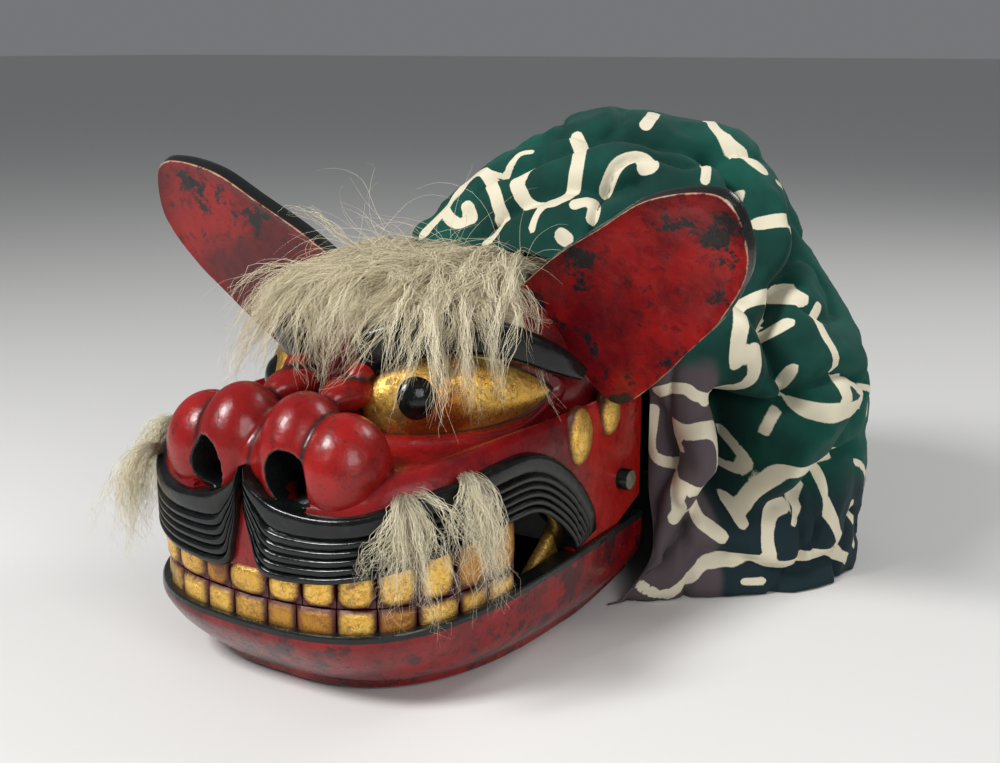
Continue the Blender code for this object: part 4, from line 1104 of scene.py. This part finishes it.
def cloth_point(around, along):
    """A point of the bundle: around is 0 at the near foot and 1 at the far one, along runs to the rear."""
    around, along = np.broadcast_arrays(np.asarray(around, float), np.asarray(along, float))
    feet, top, foot_x, top_x, half, height, square = np.moveaxis(smooth_path(ARCHES, along), -1, 0)
    sine = np.maximum(np.sin(np.pi * around), 0)
    rise = sine ** (2 / square)
    z = (0.250 + 0.102 * height) * rise - 0.008 * (1 - rise)
    reach = np.copysign(np.abs(np.cos(np.pi * around)) ** (2 / square), np.cos(np.pi * around))
    x = (foot_x + (top_x - foot_x) * rise) * 0.103 + (0.125 + half * 0.103) * reach
    t = z / 0.352
    bulge = np.exp(-(((t - 0.44) / 0.11) ** 2)) - 1.2 * np.exp(-(((t - 0.71) / 0.11) ** 2))
    x = x + np.where(around < 0.5, 0.012 * bulge, 0)
    y = REAR_Y + 0.268 * (feet + (top - feet) * sine)
    hug = smooth_path(HUG, np.minimum(around, 1 - around) * 2)
    hug[..., 0] *= np.where(around > 0.5, -1, 1)
    t = np.minimum(along / 0.15, 1)
    t = (t * t * (3 - 2 * t))[..., None]
    return hug + (np.stack([x, y, z], -1) - hug) * t


# Printed strokes as (half width in mm, points along the middle), each point (around, along) in thousandths.
STROKES = [
    (7, [(578, 85), (589, 135), (614, 218), (583, 218), (531, 158), (506, 120), (492, 93), (491, 58)]),
    (7, [(586, 128), (549, 103), (533, 95), (531, 108), (544, 123)]),
    (3, [(576, 216), (561, 218), (558, 238), (556, 258), (546, 266)]),
    (8, [(506, 301), (481, 258), (461, 218), (449, 180), (447, 155), (462, 143), (481, 138), (494, 145),
        (511, 175), (514, 195), (518, 218)]),
    (7, [(416, 208), (422, 236), (426, 266), (421, 291), (407, 298), (397, 288), (404, 278)]),
    (7, [(422, 153), (412, 170), (397, 165), (386, 148)]),
    (8, [(422, 100), (414, 98)]),
    (4, [(462, 130), (461, 115), (459, 93)]),
    (7, [(489, 459), (466, 381)]),
    (6, [(436, 501), (414, 469), (387, 454), (366, 459), (349, 459), (336, 464)]),
    (5, [(381, 409), (381, 388), (367, 366), (347, 338)]),
    (6, [(324, 406), (311, 391), (299, 376), (287, 366)]),
    (4, [(321, 489), (317, 531), (302, 531)]),
    (7, [(279, 404), (277, 426), (269, 461), (260, 496)]),
    (7, [(219, 388), (219, 361), (220, 326), (219, 296), (210, 266), (200, 246), (189, 233), (180, 226)]),
    (4, [(215, 383), (207, 361), (200, 333)]),
    (7, [(184, 253), (175, 253), (164, 251), (157, 233), (157, 213), (155, 183), (155, 163), (152, 135)]),
    (6, [(194, 326), (194, 353), (195, 381)]),
    (7, [(222, 444), (214, 431), (207, 439)]),
    (5, [(199, 464), (190, 444), (177, 436), (167, 436), (155, 431)]),
    (5, [(164, 346), (154, 333), (140, 328)]),
    (8, [(135, 426), (142, 431), (144, 456), (137, 484), (129, 514), (122, 496), (124, 434), (127, 381),
        (130, 343)]),
    (4, [(135, 524), (129, 581), (119, 571), (110, 574)]),
    (6, [(184, 60), (177, 88), (170, 113), (160, 123), (152, 143)]),
    (7, [(139, 85), (130, 108), (129, 128), (125, 145), (117, 163), (105, 173), (92, 170), (80, 155),
        (73, 138)]),
    (5, [(139, 83), (127, 93), (115, 103)]),
    (6, [(170, 12), (152, 14), (138, 20), (124, 35), (105, 75), (88, 98), (82, 115), (73, 138)]),
    (7, [(92, 93), (77, 100), (65, 100), (60, 90)]),
    (6, [(58, 253), (68, 276), (78, 296), (87, 316), (87, 351), (85, 393), (87, 426), (88, 459)]),
    (3, [(127, 311), (119, 296), (109, 293)]),
    (7, [(58, 331), (55, 306), (47, 288), (37, 286), (27, 291)]),
    (6, [(20, 60), (10, 85), (7, 100), (10, 113), (15, 128), (20, 140), (22, 175), (23, 218), (25, 263),
        (22, 311), (22, 358), (23, 411), (22, 466), (13, 531)]),
    (6, [(85, 471), (82, 434), (73, 421), (60, 426), (45, 444), (30, 474), (18, 494)]),
    (5, [(70, 376), (63, 358), (55, 361), (48, 348)]),
    (4, [(78, 531), (68, 584), (58, 594)]),
    (7, [(48, 531), (38, 549)]),
    (4, [(28, 584), (17, 591)]),
    (7, [(58, 123), (48, 138), (43, 163), (38, 190)]),
    (7, [(57, 231), (48, 238)]),
    (4, [(98, 256), (87, 276), (78, 263), (78, 233), (72, 211)]),
    (4, [(12, 231), (12, 276)]),
]
# Creases and swells as (height in mm, half width in mm, points).
CREASES = [
    (-36, 17, [(150, 211), (127, 228), (102, 248), (80, 236), (68, 206)]),
    (-14, 9, [(152, 178), (124, 201), (92, 211), (72, 178)]),
    (-16, 10, [(377, 411), (341, 404), (309, 386), (277, 368), (250, 343), (234, 316)]),
    (-14, 9, [(222, 411), (207, 373), (195, 323), (177, 323), (160, 323), (139, 328), (132, 276),
        (140, 213)]),
    (-10, 7, [(304, 556), (255, 514), (229, 456), (217, 401)]),
    (-9, 7, [(87, 516), (83, 446), (77, 396), (65, 348), (58, 306)]),
    (-9, 8, [(45, 33), (37, 85), (55, 118), (68, 145), (65, 206)]),
    (-7, 6, [(27, 133), (25, 218), (15, 338), (18, 466)]),
    (-6, 8, [(556, 216), (501, 253), (467, 326), (409, 366), (381, 401)]),
    (-6, 9, [(511, 65), (487, 133), (461, 175), (414, 198), (391, 253)]),
    (-8, 6, [(139, 333), (150, 431), (142, 519)]),
    (-8, 7, [(175, 43), (142, 58), (105, 83), (78, 0)]),
    (-5, 6, [(62, 356), (43, 368), (23, 373)]),
    (-4, 5, [(62, 393), (40, 411), (25, 411)]),
    (9, 14, [(119, 128), (92, 140), (72, 115)]),
    (9, 15, [(117, 373), (102, 341), (80, 326)]),
    (8, 12, [(204, 256), (185, 263), (165, 226), (160, 170)]),
    (6, 10, [(302, 439), (259, 426), (234, 404)]),
]


def path_distance(points, path):
    """Distance from points to a line of points."""
    best = np.full(points.shape[:-1], 9.0)
    for a, b in zip(path[:-1], path[1:]):
        leg = b - a
        t = np.clip(((points - a) @ leg) / max(leg @ leg, 1e-12), 0, 1)[..., None]
        best = np.minimum(best, np.linalg.norm(points - a - leg * t, axis=-1))
    return best


A, B = np.meshgrid(np.linspace(0.004, 0.996, 230), np.linspace(0, 1, 150))
smooth_cloth = cloth_point(A, B)


def middle_line(places):
    fine = smooth_path(np.array(places) * 0.001, np.linspace(0, 1, 4 * len(places)))
    return cloth_point(fine[:, 0], fine[:, 1])


PRINT_WIDTH = 0.00070  # metres of half width for each unit in STROKES
FOLD_DEPTH = 0.0021  # metres for each unit of height in CREASES
ink = np.full(A.shape, FAR)
for half, places in STROKES:
    for spots in (places, [(940 - a, 980 - b) for a, b in places]):
        if spots is places or min(spots)[0] > 560:
            ink = np.minimum(ink, path_distance(smooth_cloth, middle_line(spots)) - half * PRINT_WIDTH)
over_cloth = smooth_cloth.reshape(-1, 3)
# Where the photograph can't see, on the far side and the rear, the same print goes on as scattered hooks.
HOOK = np.array([
    (-40, -16), (-30, 4), (-12, 17), (8, 16), (20, 2), (14, -13), (0, -14), (-5, -4), (2, 2),
]) * 0.001  # fmt: skip
for b in np.arange(0.14, 1.0, 0.115):
    for a in np.arange(0.06, 0.97, 0.075):
        middle = cloth_point(a, b)
        apart = path_distance(middle[None], over_cloth[ink.ravel() < 0][::7])[0]
        hidden = a > 0.63 or b > 0.62 or (a > 0.5 and b > 0.42)
        if hidden and apart > 0.028:
            across = cloth_point(a + 0.01, b) - middle
            across /= np.linalg.norm(across)
            onward = cloth_point(a, b + 0.01) - middle
            onward -= across * (onward @ across)
            onward /= np.linalg.norm(onward)
            turn = rng.uniform(0, 2 * np.pi)
            x, y = HOOK.T
            x, y = x * math.cos(turn) - y * math.sin(turn), x * math.sin(turn) + y * math.cos(turn)
            hook = middle + x[:, None] * across + y[:, None] * onward
            hook = np.array([over_cloth[np.argmin(((over_cloth - spot) ** 2).sum(-1))] for spot in hook])
            hook = smooth_path(hook, np.linspace(0, 1, 27))
            ink = np.minimum(ink, path_distance(smooth_cloth, hook) - 0.0048)
facing = np.cross(np.gradient(smooth_cloth, axis=0), np.gradient(smooth_cloth, axis=1))
facing /= np.linalg.norm(facing, axis=-1, keepdims=True) + 1e-12
facing *= np.sign((facing * (smooth_cloth - (0.05, 0.22, 0.1))).sum())
lift = np.zeros(A.shape)
for height, half, places in CREASES:
    d = path_distance(smooth_cloth, middle_line(places)) / (half * 0.001)
    lift += height * FOLD_DEPTH * np.exp(-(d**1.4))


def cloth_noise(scale, shift=(0, 0, 0)):
    """Noise over the cloth, with a scale for each axis."""
    found = [noise3.noise(Vector(p * scale) + Vector(shift)) for p in over_cloth]
    return np.array(found).reshape(A.shape)


billow = cloth_noise((14, 14, 14))
small = cloth_noise((42, 42, 42))
pinched = cloth_noise((17, 17, 9), (4, 7, 1))
lift += billow * 0.008 + small * 0.002 - np.abs(small) * 0.004
lift -= 0.0075 * np.exp(-np.abs(pinched) / 0.055)
skin = smooth_cloth + facing * (lift * np.clip(B / 0.08, 0, 1))[..., None]
skin[..., 2] = np.maximum(skin[..., 2], 0.0006 + 0.002 * np.abs(small))
mesh = bpy.data.meshes.new("printed_cloth")
mesh.from_pydata(skin.reshape(-1, 3).tolist(), [], grid_faces(*A.shape).tolist())
set_fields(mesh, ink=ink, front=B, height=smooth_cloth[..., 2])
mesh.shade_smooth()
cloth = bpy.data.objects.new("printed_cloth", mesh)
bpy.context.collection.objects.link(cloth)
thick = cloth.modifiers.new("weave_thickness", "SOLIDIFY")
thick.thickness, thick.offset = 0.0012, 0
bpy.ops.object.select_all(action="DESELECT")
cloth.select_set(True)
bpy.context.view_layer.objects.active = cloth
bpy.ops.object.convert(target="MESH")
made, tree, shader, place = new_material("printed_cotton")
weave = add_node(tree, "ShaderNodeTexNoise", {"Vector": place, "Scale": 900.0, "Detail": 2.0}).outputs[0]
fade = noise(tree, place, 9, 4, 0.6)
dyed = mix(tree, ramp(tree, fade, 0.35, 0.7), (0.002, 0.036, 0.027, 1), (0.006, 0.085, 0.062, 1))
height, front = attribute(tree, "height"), attribute(tree, "front")
# Darker slate towards the floor, by height.
low_slate = broken_edge(tree, height, fade, 0.03, 0.115, 0.075)
dyed = mix(tree, low_slate, dyed, (0.009, 0.024, 0.029, 1))
beside = broken_edge(tree, front, fade, 0.03, 0.21, 0.185)
purple = maths(tree, "MULTIPLY", beside, broken_edge(tree, height, fade, 0.03, 0.20, 0.185))
dyed = mix(tree, purple, dyed, (0.090, 0.070, 0.078, 1))
cream = broken_edge(tree, attribute(tree, "ink"), weave, 0.0008, 0.0008, 0.0001)
tree.links.new(mix(tree, cream, dyed, (0.72, 0.66, 0.50, 1)), shader.inputs["Base Color"])
shader.inputs["Roughness"].default_value = 0.82
shader.inputs["Sheen Weight"].default_value = 0.04
shader.inputs["Specular IOR Level"].default_value = 0.2
set_bump(tree, shader, weave, 0.0004, 0.25)
cloth.data.materials.append(made)
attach(cloth, "head")
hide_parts("body_cloth")
